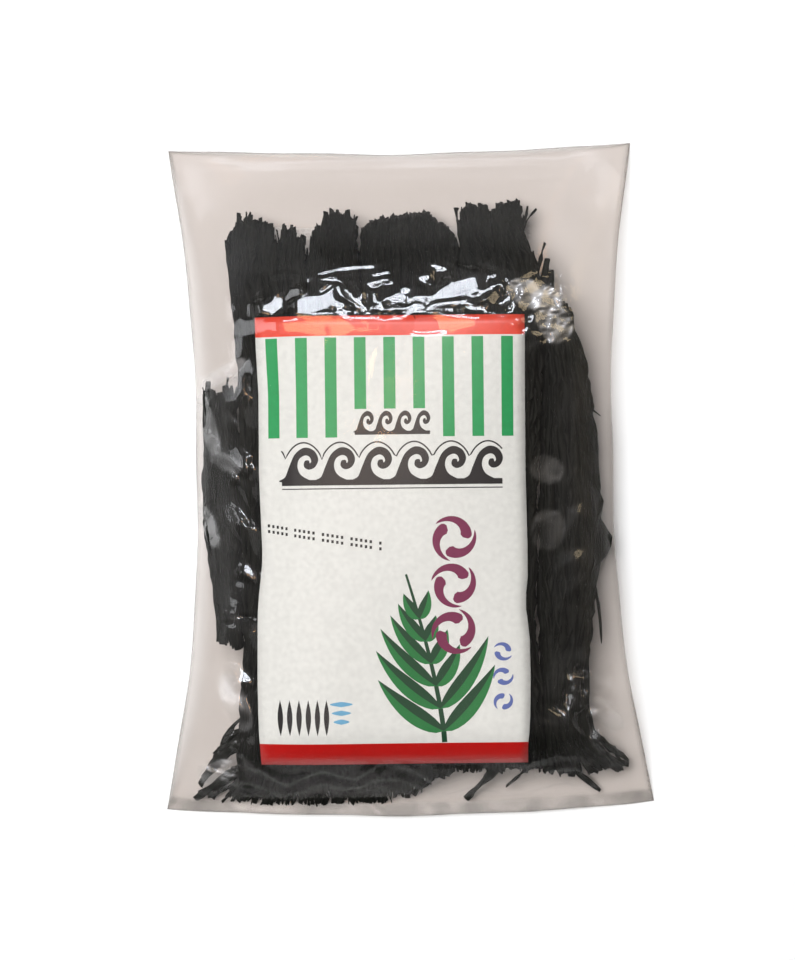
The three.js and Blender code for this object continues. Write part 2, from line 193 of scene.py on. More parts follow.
# Direction, distance, width and height, power in watts, and colour.
GLINT_LIGHTS = {
    "window": ((0.0, 0.47, 0.88), 1600, (640, 330), 25, "#F0F5FF"),
    "card": ((-0.72, 0.25, 0.65), 1500, (450, 450), 5.4, "#F4F6FA"),
    "warm": ((0.66, 0.5, 0.56), 1400, (560, 460), 8.5, "#D8C3A0"),
    "ceiling": ((-0.2, 0.05, 0.98), 1900, (1500, 800), 3.0, "#FFFFFF"),
    "lamp": ((-0.12, 0.2, 0.97), 1500, (240, 300), 3.2, "#FFC48A"),
    "left_wall": ((-0.93, 0.05, 0.36), 1300, (900, 500), 1.6, "#FFFFFF"),
    "back_wall": ((-0.3, 0.85, 0.45), 1300, (600, 500), 0.4, "#FFFFFF"),
}
LIGHT_PLACES = {name: area_light(name, *light) for name, light in GLINT_LIGHTS.items()}
world = bpy.data.worlds.new("studio")
world.use_nodes = True
background = world.node_tree.nodes["Background"]
background.inputs["Color"].default_value = linear("#FFFFFF")
background.inputs["Strength"].default_value = 0.05
bpy.context.scene.world = world
print("lights: key,", ", ".join(LIGHT_PLACES))

# %% [markdown]
# ## The shape of the bag
# A tube of film 150 mm wide is drawn in at its waist when it is filled, which leaves the four corners
# standing out as ears. These are the same formulas and sizes as the solid model's, so the film that is drawn
# here lies on the film of the model. The back rests on the table in the middle and turns up at its edges.

# %% Plan and back of the bag
WAIST_HALF = 63.8
TOP_HALF = 71.6
BOTTOM_HALF = 75
WAIST_Y = 5
FLARE_POWER = 2.4
CORNER_TOP_Y = 103.5
CORNER_BOTTOM_Y = -100.5
TOP_EDGE_SAG = 2.8
BOTTOM_EDGE_BULGE = 3
SIDE_SEAM_HEIGHT = 8
TOP_SEAM_HEIGHT = 3
BOTTOM_SEAM_HEIGHT = 2.4
FLAT_SHARE = 0.62


def half_width(y):
    up = y > WAIST_Y
    reach = np.where(up, CORNER_TOP_Y - WAIST_Y, WAIST_Y - CORNER_BOTTOM_Y)
    flare = np.where(up, TOP_HALF, BOTTOM_HALF) - WAIST_HALF
    return WAIST_HALF + flare * np.minimum(1, np.abs(y - WAIST_Y) / reach) ** FLARE_POWER


def top_edge(u):
    return CORNER_TOP_Y - TOP_EDGE_SAG * (1 - u * u)


def bottom_edge(u):
    return CORNER_BOTTOM_Y - BOTTOM_EDGE_BULGE * (1 - u * u)


def back_height(x, y):
    u = np.clip(x / half_width(y), -1, 1)
    v = np.clip(2 * (y - bottom_edge(u)) / (top_edge(u) - bottom_edge(u)) - 1, -1, 1)
    side = smoothstep(np.abs(u), FLAT_SHARE, 1) * (1 - v**4)
    end = smoothstep(np.abs(v), FLAT_SHARE + 0.16, 1) * (1 - u**4)
    return SIDE_SEAM_HEIGHT * side + np.where(v > 0, TOP_SEAM_HEIGHT, BOTTOM_SEAM_HEIGHT) * end


print(f"bag: {2 * WAIST_HALF} mm wide at its waist, {2 * BOTTOM_HALF} mm at the bottom")

# %% [markdown]
# The front stands above the back by the height of what is inside. It rises steeply at the sides, and slopes
# down in a longer curve at both ends. The crease at the top slope's foot is rounded off by taking the mean
# of the slope at a few places side by side. The label's size and place are set here too, because the film
# lies smoother over it.

# %% Height of the front film
FRONT_OFFSET = 1.3
FILL_HEIGHT = 26
SIDE_FULLNESS = 4.5
TOP_SLOPE_START_Y = 44
TOP_SLOPE_LENGTH = 50
BOTTOM_SLOPE_START_Y = -98.5
BOTTOM_SLOPE_LENGTH = 23
ROUNDED_OVER = (-5, -2, 2, 5)
LUMP_HEIGHT = 0.7
LABEL_WIDTH = 80
LABEL_LENGTH = 134
LABEL_CENTRE = (-4.2, -18.3)


def fill_height(x, y):
    u = np.clip(x / half_width(y), -1, 1)
    across = (1 - np.abs(u) ** SIDE_FULLNESS) * smoothstep(1 - np.abs(u), -0.05, 0.07)
    falls = [np.clip((y + s - TOP_SLOPE_START_Y) / TOP_SLOPE_LENGTH, 0, 1) for s in ROUNDED_OVER]
    top = np.mean([np.cos(fall * math.pi / 2) for fall in falls], 0)
    bottom = np.sin(np.clip((y - BOTTOM_SLOPE_START_Y) / BOTTOM_SLOPE_LENGTH, 0, 1) * math.pi / 2)
    lumps = LUMP_HEIGHT * np.sin(x / 13 + 1) * np.cos(y / 21)
    return (FILL_HEIGHT + lumps) * across * top * bottom


def front_height(x, y):
    """The front film before it is creased."""
    return back_height(x, y) + FRONT_OFFSET + fill_height(x, y)


def label_cover(x, y):
    """1 over the label, fading to 0 just outside it."""
    beside = np.abs(x - LABEL_CENTRE[0]) - LABEL_WIDTH / 2 - 0.5
    beyond = np.abs(y - LABEL_CENTRE[1]) - LABEL_LENGTH / 2 - 0.5
    return np.clip(1 - np.maximum(beside, beyond) / 1.2, 0, 1)


print(f"front film at the middle: {float(front_height(np.array(0.0), np.array(0.0))):.1f} mm")

# %% [markdown]
# ## Crumpled film
# Thin stiff film can't stretch, so where it has to bend two ways at once it crumples into flat facets with
# sharp edges between them. A cloth simulation gives soft folds, which is wrong for this film. Here the
# facets come from random points, joined by a Delaunay triangulation into flat triangles.

# %% Random facets
def facets(x, y, seed, spacing, low=(-90, -120), high=(90, 120)):
    """Heights from -1 to 1 at random points, joined by flat triangles and read off at x, y."""
    draw = np.random.default_rng(seed)
    count = int((high[0] - low[0]) * (high[1] - low[1]) / spacing**2)
    places = draw.uniform(low, high, (count, 2))
    heights = draw.uniform(-1, 1, count)
    _, _, triangles, *_ = delaunay_2d_cdt([Vector(p) for p in places], [], [], 0, 1e-6)
    total = np.zeros_like(x)
    wanted = np.nonzero((x > low[0]) & (x < high[0]) & (y > low[1]) & (y < high[1]))
    wanted = tuple(index[np.argsort(y[wanted])] for index in wanted)
    xs, ys, found = x[wanted], y[wanted], np.zeros(len(wanted[0]))
    for triangle in triangles:
        (ax, ay), (bx, by), (cx, cy) = places[triangle]
        area = (bx - ax) * (cy - ay) - (cx - ax) * (by - ay)
        rows = slice(*np.searchsorted(ys, (min(ay, by, cy), max(ay, by, cy))))
        near = np.nonzero((xs[rows] >= min(ax, bx, cx)) & (xs[rows] <= max(ax, bx, cx)))[0] + rows.start
        px, py = xs[near], ys[near]
        b = ((px - ax) * (cy - ay) - (cx - ax) * (py - ay)) / area
        c = ((bx - ax) * (py - ay) - (px - ax) * (by - ay)) / area
        inside = (b >= 0) & (c >= 0) & (b + c <= 1)
        mixed = (1 - b - c) * heights[triangle[0]] + b * heights[triangle[1]] + c * heights[triangle[2]]
        found[near] = np.where(inside, mixed, found[near])
    total[wanted] = found
    return total


print("facets at two places:", facets(np.array([0.0, 8.0]), np.array([0.0, 8.0]), 7, 9.5).round(2))

# %% [markdown]
# The photograph shows where the film is crumpled: in a band above the label, along both flanks and in the
# lower corners. It is nearly flat over the label and soft near the top. Facets of two sizes are added up, so
# that large dents carry small ones.

# %% Where the film is crumpled
# Seed and spacing of the facets.
BROAD_FACETS = (7, 9.5)
FINE_FACETS = (8, 3.2)
LEAST_CRUMPLE = 0.18
# Centre x, y, half size, then the height of the broad and of the fine facets.
CRUMPLED = [
    ((-30, 56), (20, 8), 0.5, 0.15),
    ((-14, 55), (10, 8), 0.4, 0.4),
    ((19, 56), (15, 9), 0.5, 0.5),
    ((41, 50), (15, 12), 0.5, 0.55),
    ((0, 52), (42, 3), 0.2, 0.35),
    ((-55, 22), (10, 22), 1.3, 0.1),
    ((-55, -18), (9, 22), 1.2, 0.1),
    ((-55, -58), (10, 22), 1.5, 0.1),
    ((-56, -86), (14, 13), 1.6, 0.3),
    ((54, 30), (9, 24), 0.7, 0.05),
    ((54, -20), (9, 30), 0.8, 0.05),
    ((53, -66), (12, 14), 1.2, 0.3),
    ((58, -84), (14, 13), 1.3, 0.35),
    ((0, -92), (56, 7), 1.0, 0.25),
]


def crumple_strength(x, y):
    broad = np.zeros_like(x)
    fine = np.zeros_like(x)
    for (cx, cy), (rx, ry), broad_height, fine_height in CRUMPLED:
        strength = np.exp(-(((x - cx) / rx) ** 4) - ((y - cy) / ry) ** 4)
        broad = np.maximum(broad, broad_height * strength)
        fine = np.maximum(fine, fine_height * strength)
    return broad, fine


def crumple(x, y):
    broad, fine = crumple_strength(x, y)
    return (LEAST_CRUMPLE + broad) * facets(x, y, *BROAD_FACETS) + fine * facets(x, y, *FINE_FACETS)


print("crumpled areas:", len(CRUMPLED))

# %% [markdown]
# A few facets are bright in the photograph because they mirror a light to the camera. A facet does that when
# its normal halves the angle between the light and the camera, so its slope follows from where the lights
# stand. These facets are listed one by one, and each is tilted to the light that it is to mirror.

# %% Facets that mirror a light
# The light, centre x, y, half length, half width and direction in degrees.
MIRRORS = [
    ("window", -23.6, 61.4, 5.0, 0.7, 16),
    ("window", -13.6, 63.5, 6.4, 0.9, 6),
    ("window", -20.6, 59.6, 5.4, 0.7, -7),
    ("window", -6.1, 61.5, 2.7, 0.7, 18),
    ("window", -6.8, 59.0, 3.2, 0.8, 16),
    ("window", -12.9, 66.8, 0.9, 0.7, 0),
    ("window", 1.1, 56.2, 1.2, 1.1, 0),
    ("window", -19.5, 52.6, 3.4, 1.2, -43),
    ("window", -16.0, 55.2, 2.8, 1.0, -62),
    ("window", -12.2, 51.9, 3.4, 1.0, -52),
    ("window", -38.6, 52.2, 5.0, 2.2, 10),
    ("window", -26.8, 52.2, 5.4, 2.4, 6),
    ("card", -32.4, 55.8, 3.0, 1.2, 26),
    ("window", 0.5, 50.6, 10.0, 0.7, 1),
    ("window", 6.8, 60.0, 2.3, 1.2, 19),
    ("window", 9.8, 64.1, 1.1, 0.7, 6),
    ("window", 16.2, 70.5, 1.2, 0.6, 13),
    ("window", 21.0, 59.6, 5.6, 2.4, -14),
    ("window", 8.4, 53.8, 4.0, 0.8, -4),
    ("window", 16.5, 55.8, 7.2, 3.2, 22),
    ("window", 24.6, 55.2, 5.0, 1.0, 33),
    ("window", 14.0, 52.0, 5.7, 0.9, 5),
    ("warm", 27.6, 53.6, 2.7, 1.5, 33),
    ("window", 31.4, 52.4, 1.6, 1.2, 26),
    ("warm", 32.6, 56.4, 2.4, 1.2, -10),
    ("warm", 39.4, 56.8, 3.6, 1.2, 20),
    ("warm", 43.8, 52.6, 2.6, 1.2, -38),
    ("warm", 41.6, 47.6, 3.0, 1.0, 32),
    ("warm", 36.4, 50.8, 2.6, 1.6, -30),
    ("window", 38.0, 47.2, 1.4, 1.2, -20),
    ("warm", 46.6, 44.2, 2.4, 1.0, -50),
    ("warm", 42.1, 40.6, 2.0, 0.8, 20),
    ("card", -50.0, 29.9, 7.5, 2.6, 46),
    ("window", -51.6, 19.9, 3.3, 0.5, -46),
    ("window", -46.6, 27.1, 3.5, 0.5, -88),
    ("card", -51.2, 6.4, 5.1, 1.5, -40),
    ("card", -58.6, -11.1, 6.3, 2.1, -76),
    ("window", -47.2, -27.0, 2.6, 1.8, -27),
    ("window", -58.3, -37.0, 1.9, 0.6, -61),
    ("window", -51.0, -40.8, 4.0, 0.6, -1),
    ("card", -55.4, -60.6, 10.0, 2.6, -65),
    ("card", -58.5, -85.3, 6.8, 2.1, 33),
    ("card", -55.7, -88.2, 4.7, 1.4, -38),
    ("window", 48.2, -63.0, 0.8, 0.7, 0),
    ("window", 45.7, -70.6, 4.0, 0.8, -36),
    ("card", 60.5, -62.2, 4.0, 1.5, -46),
    ("card", 55.7, -77.7, 7.0, 1.8, -44),
    ("lamp", -22.0, 45.6, 18.0, 2.4, 0),
    ("lamp", 14.0, 45.8, 9.0, 2.0, 0),
]


def mirror_slope(x, y, light):
    """The slope in x and in y that makes the film mirror a light to the camera."""
    here = np.array([x, y, float(front_height(np.array(x), np.array(y)))])
    to_camera = np.array(camera_place) - here
    to_light = LIGHT_PLACES[light] - here
    half = to_camera / np.linalg.norm(to_camera) + to_light / np.linalg.norm(to_light)
    return -half[:2] / half[2]


print("slope that mirrors the window from the middle:", mirror_slope(0.0, 0.0, "window").round(2))

# %% [markdown]
# Other facets are turned to the bright room. They veil what lies under them, and fine creases break each
# veil up. A veil isn't a shape but a strength, which the film's material reads further down.

# %% Facets that veil
# Seed and spacing of the creases.
VEIL_CREASES = (41, 2.8)
# Centre x, y, half length, half width, direction in degrees and strength.
VEILS = [
    (-54.5, 32.5, 8.0, 2.2, 26, 0.16),
    (-59.6, 18.0, 11.0, 2.6, -74, 0.15),
    (-54.0, 6.0, 5.5, 2.4, -28, 0.09),
    (-59.8, -13.0, 7.0, 2.4, -68, 0.18),
    (-52.0, -66.0, 9.0, 3.6, -68, 0.1),
    (-58.0, -87.5, 6.5, 3.2, 24, 0.2),
    (40.0, 54.0, 8.5, 4.2, -20, 0.2),
    (45.5, 46.0, 6.0, 5.0, -60, 0.17),
    (42.5, 2.0, 5.0, 4.0, -20, 0.03),
    (42.5, -16.0, 5.0, 6.0, -10, 0.03),
    (59.5, -72.0, 7.0, 3.0, -45, 0.12),
]


def in_facet(x, y, facet):
    """Place along and across a turned rectangle, each from -1 to 1 inside it."""
    cx, cy, length, width, degrees = facet
    cos, sin = math.cos(math.radians(degrees)), math.sin(math.radians(degrees))
    return ((x - cx) * cos + (y - cy) * sin) / length, ((y - cy) * cos - (x - cx) * sin) / width


def veils(x, y):
    """How strongly the film is veiled at x, y. Over the label it isn't."""
    broken = 1 + 0.8 * facets(x, y, *VEIL_CREASES)
    total = np.zeros_like(x)
    for *facet, strength in VEILS:
        along, across = in_facet(x, y, facet)
        inside = 1 - smoothstep(np.abs(along) ** 2.5 + np.abs(across) ** 2.5, 0.75, 1.25)
        total = np.maximum(total, strength * inside * broken)
    return total * (1 - label_cover(x, y))


print("veils:", len(VEILS))

# %% [markdown]
# The smallest glints are too many to place one by one. They are drawn at random inside the areas where the
# photograph glitters, and each still mirrors one of the lights. All these facets then replace the relief
# under them, and a fine grain keeps the large ones from being as flat as glass.

# %% Small glints
# Centre x, y, half size, how many, their direction, and the lights to draw from.
GLINTS = [
    (42, 50, 8, 9, 150, 20, ("warm", "warm", "window")),
    (21, 56, 12, 6, 12, 30, ("window", "window", "card")),
    (-14, 54, 9, 5, 9, -50, ("window", "card")),
    (0, 50.4, 38, 1.0, 18, 0, ("window", "card")),
    (-55, -84, 9, 9, 7, 30, ("card",)),
    (51, -66, 6, 9, 10, -40, ("card",)),
    (-54, 0, 6, 42, 12, -60, ("card",)),
    (0, -100.6, 60, 1.2, 30, 2, ("window", "card")),
]
# Seed, spacing and limits of the grain on the mirrors.
MIRROR_GRAIN = (31, 2.0, (-50, 34), (56, 74))
MIRROR_SCATTER = 0.03
MIRROR_GROWTH = (1.1, 1.25)
MAX_RELIEF = 1.6


def drawn_glints():
    draw = np.random.default_rng(43)
    glints = []
    for x, y, across, along, count, degrees, lights in GLINTS:
        for _ in range(count):
            angle, reach = draw.uniform(0, 2 * math.pi), draw.uniform(0, 1) ** 0.5
            place = (x + across * reach * math.cos(angle), y + along * reach * math.sin(angle))
            light = lights[draw.integers(len(lights))]
            size = (draw.uniform(0.9, 2.6), draw.uniform(0.5, 1.1))
            glints.append((light, *place, *size, degrees + draw.uniform(-30, 30)))
    return glints


def add_mirrors(x, y, relief):
    """Puts the flat facets that mirror a light into the relief of the film."""
    draw = np.random.default_rng(29)
    roughness = (0.05 + 0.2 * smoothstep(x, 28, 36)) * facets(x, y, *MIRROR_GRAIN)
    for light, cx, cy, length, width, degrees in drawn_glints() + MIRRORS:
        length, width = length * MIRROR_GROWTH[0], width * MIRROR_GROWTH[1]
        slope = mirror_slope(cx, cy, light) + draw.uniform(-1, 1, 2) * MIRROR_SCATTER
        near = np.hypot(x - cx, y - cy) < 1.5 * (length + width)
        dx, dy = x[near] - cx, y[near] - cy
        along, across = in_facet(x[near], y[near], (cx, cy, length, width, degrees))
        shape = np.exp(-0.7 * (np.abs(along) ** 5 + np.abs(across) ** 5))
        bulge = front_height(x[near], y[near]) - front_height(np.array(cx), np.array(cy))
        plane = np.clip(slope[0] * dx + slope[1] * dy - bulge, -MAX_RELIEF, MAX_RELIEF) + roughness[near]
        relief[near] = relief[near] * (1 - shape) + plane * shape
    return relief


print("facets that mirror a light:", len(MIRRORS) + len(drawn_glints()))

# %% [markdown]
# The bottom seal is where the two films are melted together. It is a strip 4 mm high, crimped by the ribs of
# the sealing bar and puckered by the pull of the bag above it. Where the film comes down to it, it folds in
# short level pleats, with a steep step after each.

# %% Shape of the bottom seal
SEAL_HEIGHT = 4
SEAL_RIB_PITCH = 1.3
SEAL_RIB_HEIGHT = 0.07
PUCKER_HEIGHT = 0.4
PLEAT_PITCH = 5.5
PLEAT_HEIGHT = 1.4
PLEAT_FALL = 0.8
PLEAT_FACETS = (17, 7.0)


def seal_relief(x, y):
    above = y - bottom_edge(np.clip(x / half_width(y), -1, 1))
    strip = 1 - smoothstep(above, SEAL_HEIGHT - 0.6, SEAL_HEIGHT + 0.6)
    ribs = SEAL_RIB_HEIGHT * np.sin(2 * math.pi * above / SEAL_RIB_PITCH)
    pucker = PUCKER_HEIGHT * np.sin(x / 2.3 + 1.4 * np.sin(x / 7)) * np.sin(x / 11 + 0.6)
    return strip * ribs + pucker * (1 - smoothstep(above, 1, 11))


def wavy(x, seed, size, step):
    """A smooth random line: waves of a few lengths around step, up to about size."""
    draw = np.random.default_rng(seed)
    waves = [np.sin(x / (step * f) + draw.uniform(0, 6.3)) / 3 for f in (0.5, 1.0, 1.9, 3.1)]
    return size * sum(waves)


def pleats(x, y):
    zone = smoothstep(-y, 84, 88) * smoothstep(y, -98.5, -95)
    shift = wavy(x, 13, 3.0, 8) + 3.0 * facets(x, y, *PLEAT_FACETS)
    t = ((y + shift) / PLEAT_PITCH) % 1
    rise = np.where(t < PLEAT_FALL, 0.5 - t / PLEAT_FALL, (t - PLEAT_FALL) / (1 - PLEAT_FALL) - 0.5)
    return zone * PLEAT_HEIGHT * rise


print("ribs in the seal:", round(SEAL_HEIGHT / SEAL_RIB_PITCH))

# %% [markdown]
# ## The bag as one closed surface
# The film is 0.04 mm thick, far less than a pixel. It is drawn as one surface that runs over the front,
# round the sealed edges and over the back, so that light meets each film once. The front has most of the
# faces, and its rows lie closer together where the film is crumpled.

# %% Front and back of the bag
FRONT_CELLS = (220, 330)
RIM_GAP = 0.12
LEAST_RELIEF_OVER_LABEL = -0.3
BACK_FOLDS = (19, 13)


def crowded_shares(count, crowded_at, crowded_width):
    """Shares from -1 to 1, closer together around one place and at both ends."""
    s = np.linspace(-1, 1, 2000)
    density = 1 + 0.9 * np.exp(-(((s - crowded_at) / crowded_width) ** 4)) + 0.7 * np.abs(s) ** 12
    reach = np.cumsum(density)
    shares = np.interp(np.linspace(0, 1, count + 1), (reach - reach[0]) / (reach[-1] - reach[0]), s)
    shares[0], shares[-1] = -1, 1
    return shares


def plan_point(u, v):
    y = bottom_edge(u) + (top_edge(u) - bottom_edge(u)) * (v + 1) / 2
    rim_across = smoothstep(np.abs(u), 0.8, 1) * np.sign(u)
    rim_along = smoothstep(np.abs(v), 0.9, 1)
    x = u * half_width(y) + rim_across * wavy(y, 3, 0.5, 14)
    y = y + rim_along * wavy(x, 5, 0.45, 12) * (1 - u**6)
    return x, y


def from_rim(x, y):
    """The distance from the nearest edge of the bag."""
    u = np.clip(x / half_width(y), -1, 1)
    return np.minimum(half_width(y) - np.abs(x), np.minimum(top_edge(u) - y, y - bottom_edge(u)))


def front_surface(u, v):
    x, y = plan_point(u, v)
    inside = from_rim(x, y)
    cover = label_cover(x, y)
    relief = add_mirrors(x, y, crumple(x, y) * (1 - 0.6 * cover) + pleats(x, y)) * smoothstep(inside, 0, 9)
    relief = np.where(cover > 0, np.maximum(relief, LEAST_RELIEF_OVER_LABEL), relief)
    settled = RIM_GAP + (FRONT_OFFSET - RIM_GAP) * smoothstep(inside, 0, 14)
    z = back_height(x, y) + settled + fill_height(x, y) + relief + seal_relief(x, y)
    return x, y, np.maximum(z, back_height(x, y) + RIM_GAP)


def back_surface(u, v):
    x, y = plan_point(u, v)
    lifted = np.clip(back_height(x, y) / 2, 0, 1)
    rim = smoothstep(from_rim(x, y), 0, 5)
    folds = 0.5 * facets(x, y, *BACK_FOLDS) - 0.3
    return x, y, np.maximum(back_height(x, y) + lifted * rim * folds, 0)


FRONT_US = crowded_shares(FRONT_CELLS[0], 0, 10)
FRONT_VS = crowded_shares(FRONT_CELLS[1], 0.54, 0.12)
print("points on the front:", len(FRONT_US) * len(FRONT_VS))

# %% [markdown]
# The front is a grid of points, and the back a coarser grid inside the same outline. Along the rim, each
# fine step of the front meets the nearest point of the back's outermost row.

# %% Join front and back
BACK_STEP = 3


def quads_of(index, up):
    corners = [index[:-1, :-1], index[:-1, 1:], index[1:, 1:], index[1:, :-1]]
    return np.stack(corners if up else corners[::-1], -1).reshape(-1, 4).tolist()


def rim_strip(outer, inner, forward):
    """Joins a fine row of points at the rim to a coarser row inside it."""
    faces = []
    place = np.linspace(0, len(inner) - 1, len(outer) - 1)
    for i in range(len(outer) - 1):
        low = int(round(place[max(i - 1, 0)]))
        high = int(round(place[i]))
        if high != low:
            faces.append([outer[i], inner[high], inner[low]])
        faces.append([outer[i], outer[i + 1], inner[high]])
    return [face[::-1] for face in faces] if forward else faces


def build_bag():
    columns, rows = len(FRONT_US), len(FRONT_VS)
    front = np.stack(front_surface(*np.meshgrid(FRONT_US, FRONT_VS)), -1)
    back = np.stack(back_surface(*np.meshgrid(FRONT_US, FRONT_VS)), -1)
    rim = np.ones((rows, columns), bool)
    rim[1:-1, 1:-1] = False
    front[rim, 2] = back[rim, 2] + RIM_GAP
    outer = np.arange(rows * columns).reshape(rows, columns)
    inner_points = back[BACK_STEP : rows - 2 : BACK_STEP, BACK_STEP : columns - 2 : BACK_STEP]
    inner = rows * columns + np.arange(inner_points.shape[0] * inner_points.shape[1])
    inner = inner.reshape(inner_points.shape[:2])
    faces = quads_of(outer, True) + quads_of(inner, False)
    faces += rim_strip(outer[0], inner[0], True) + rim_strip(outer[-1], inner[-1], False)
    faces += rim_strip(outer[:, 0], inner[:, 0], False) + rim_strip(outer[:, -1], inner[:, -1], True)
    return np.concatenate([front.reshape(-1, 3), inner_points.reshape(-1, 3)]), faces


bag_points, bag_faces = build_bag()
print("bag faces:", len(bag_faces))

# %% [markdown]
# ## Clear film
# Cast polypropylene film, rolled out on a polished drum, so that it is clear with a sharp gloss. Light
# passes through it with a grey tint, which is painted shade: it darkens the table seen through the bag as
# the shade under the bag would. A share that grows at a grazing angle is mirrored. The share is worked
# out from the facing angle, which is the same on both sides of a film. Four things change over the bag, so
# they are stored on the mesh's points. Where the film is taut over the strips it mirrors sharply, and where
# it hangs loose it is finely rippled. Where it is crumpled or crimped it turns a little milky. A veil adds
# more of the rippled gloss. The seal is faintly grey, and a thin grey line along the rim is painted shade,
# for the dark line where the film folds round the edge.

# %% The film's material
def clear_film():
    material, tree, output = new_material("cast_polypropylene_film_with_painted_shade")
    # The grey tint is painted shade, for the shade on the table under the bag.
    clear = add(tree, "ShaderNodeBsdfTransparent", {"Color": linear("#F0EDEB")})
    sharp = add(tree, "ShaderNodeBsdfGlossy", {"Color": (1, 1, 1, 1), "Roughness": 0.09})
    rippled = add(tree, "ShaderNodeBsdfGlossy", {"Color": (1, 1, 1, 1), "Roughness": 0.55})
    milk = add(tree, "ShaderNodeBsdfDiffuse", {"Color": linear("#DAD6D0")})
    taut = add(tree, "ShaderNodeAttribute", attribute_name="taut").outputs["Fac"]
    polish = add(tree, "ShaderNodeMath", {0: taut, 1: 0.7, 2: 0.08}, operation="MULTIPLY_ADD").outputs[0]
    gloss = add(tree, "ShaderNodeMixShader", {0: polish, 1: rippled.outputs[0], 2: sharp.outputs[0]})
    facing = add(tree, "ShaderNodeLayerWeight", {"Blend": 0.5}).outputs["Facing"]
    steep = add(tree, "ShaderNodeMath", {0: facing, 1: 5.0}, operation="POWER").outputs[0]
    share = add(tree, "ShaderNodeMath", {0: steep, 1: 0.4, 2: 0.03}, operation="MULTIPLY_ADD").outputs[0]
    worn = add(tree, "ShaderNodeAttribute", attribute_name="crumpled").outputs["Fac"]
    patches = {0: worn, 1: grain(tree, (4, 4, 4))}
    patchy = add(tree, "ShaderNodeMath", patches, operation="MULTIPLY").outputs[0]
    haze = add(tree, "ShaderNodeMath", {0: patchy, 1: 0.06, 2: 0.001}, operation="MULTIPLY_ADD").outputs[0]
    hazy = add(tree, "ShaderNodeMixShader", {0: haze, 1: clear.outputs[0], 2: milk.outputs[0]})
    film = add(tree, "ShaderNodeMixShader", {0: share, 1: hazy.outputs[0], 2: gloss.outputs[0]})
    veil = add(tree, "ShaderNodeAttribute", attribute_name="veil").outputs["Fac"]
    veiled = add(tree, "ShaderNodeMixShader", {0: veil, 1: film.outputs[0], 2: rippled.outputs[0]})
    # Grey for the seal's own colour, and for the painted shade along the rim.
    cut = add(tree, "ShaderNodeBsdfDiffuse", {"Color": linear("#8F8C88")})
    edge = add(tree, "ShaderNodeAttribute", attribute_name="edge").outputs["Fac"]
    whole = add(tree, "ShaderNodeMixShader", {0: edge, 1: veiled.outputs[0], 2: cut.outputs[0]})
    tree.links.new(whole.outputs[0], output.inputs["Surface"])
    return material


FILM = clear_film()
print("nodes in the film's material:", len(FILM.node_tree.nodes))

# %% [markdown]
# The film's four attributes follow from the same functions as its shape, so the finish changes where the
# form does.

# %% Dress the bag
# Darkness and width of the thin line of painted shade along the rim, where the film folds round the edge.
RIM_PAINTED_SHADE = 0.22
RIM_WIDTH = 0.6
SEAL_PATCHES = (51, 6.0)


def store(piece, name, values):
    piece.data.attributes.new(name, "FLOAT", "POINT").data.foreach_set("value", values.tolist())


bag = make_object("bag_film", bag_points, bag_faces, [FILM])
bag_x, bag_y = bag_points[:, 0], bag_points[:, 1]
broad, fine = crumple_strength(bag_x, bag_y)
above_edge = bag_y - bottom_edge(bag_x / BOTTOM_HALF)
seal = 1 - smoothstep(above_edge, SEAL_HEIGHT - 0.5, SEAL_HEIGHT + 0.5)
seal_grey = seal * np.clip(0.16 + 0.2 * facets(bag_x, bag_y, *SEAL_PATCHES), 0, 1)
# Painted shade along the rim: a thin grey line for the fold of the film.
rim_painted_shade = RIM_PAINTED_SHADE * (1 - smoothstep(from_rim(bag_x, bag_y), 0.0, RIM_WIDTH))
store(bag, "crumpled", np.clip(0.2 * broad + 0.7 * fine + 2.6 * seal, 0, 3))
store(bag, "taut", smoothstep(fill_height(bag_x, bag_y), 12, 20))
store(bag, "veil", veils(bag_x, bag_y))
# The edge attribute holds both the painted shade along the rim and the seal's grey.
store(bag, "edge", np.maximum(rim_painted_shade, seal_grey))
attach(bag, "root")
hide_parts("bag_front_film", "bag_back_film")
print("bag triangles:", sum(len(p.vertices) - 2 for p in bag.data.polygons))

# %% [markdown]
# ## Wakame
# Wakame is sold as fronds cut in strips and dried. Each strip shrinks to a crinkled, twisted ribbon 1 to 3
# mm wide, and the strips lie side by side in bunches, cut off square at their ends. A bunch is drawn in two
# steps: numpy lays one guide line for each strip inside the bunch's solid, and Geometry Nodes turn every
# guide into a ribbon. A dark core fills the inside of the bunch, where no light gets in. The places of the
# bunches are those of the solid model.

# %% Where the bunches lie
# Layers, as shares of the height inside the bag.
UNDER = (0.0, 0.42)
TOP = (0.47, 1.0)
BOTH = (0.0, 1.0)

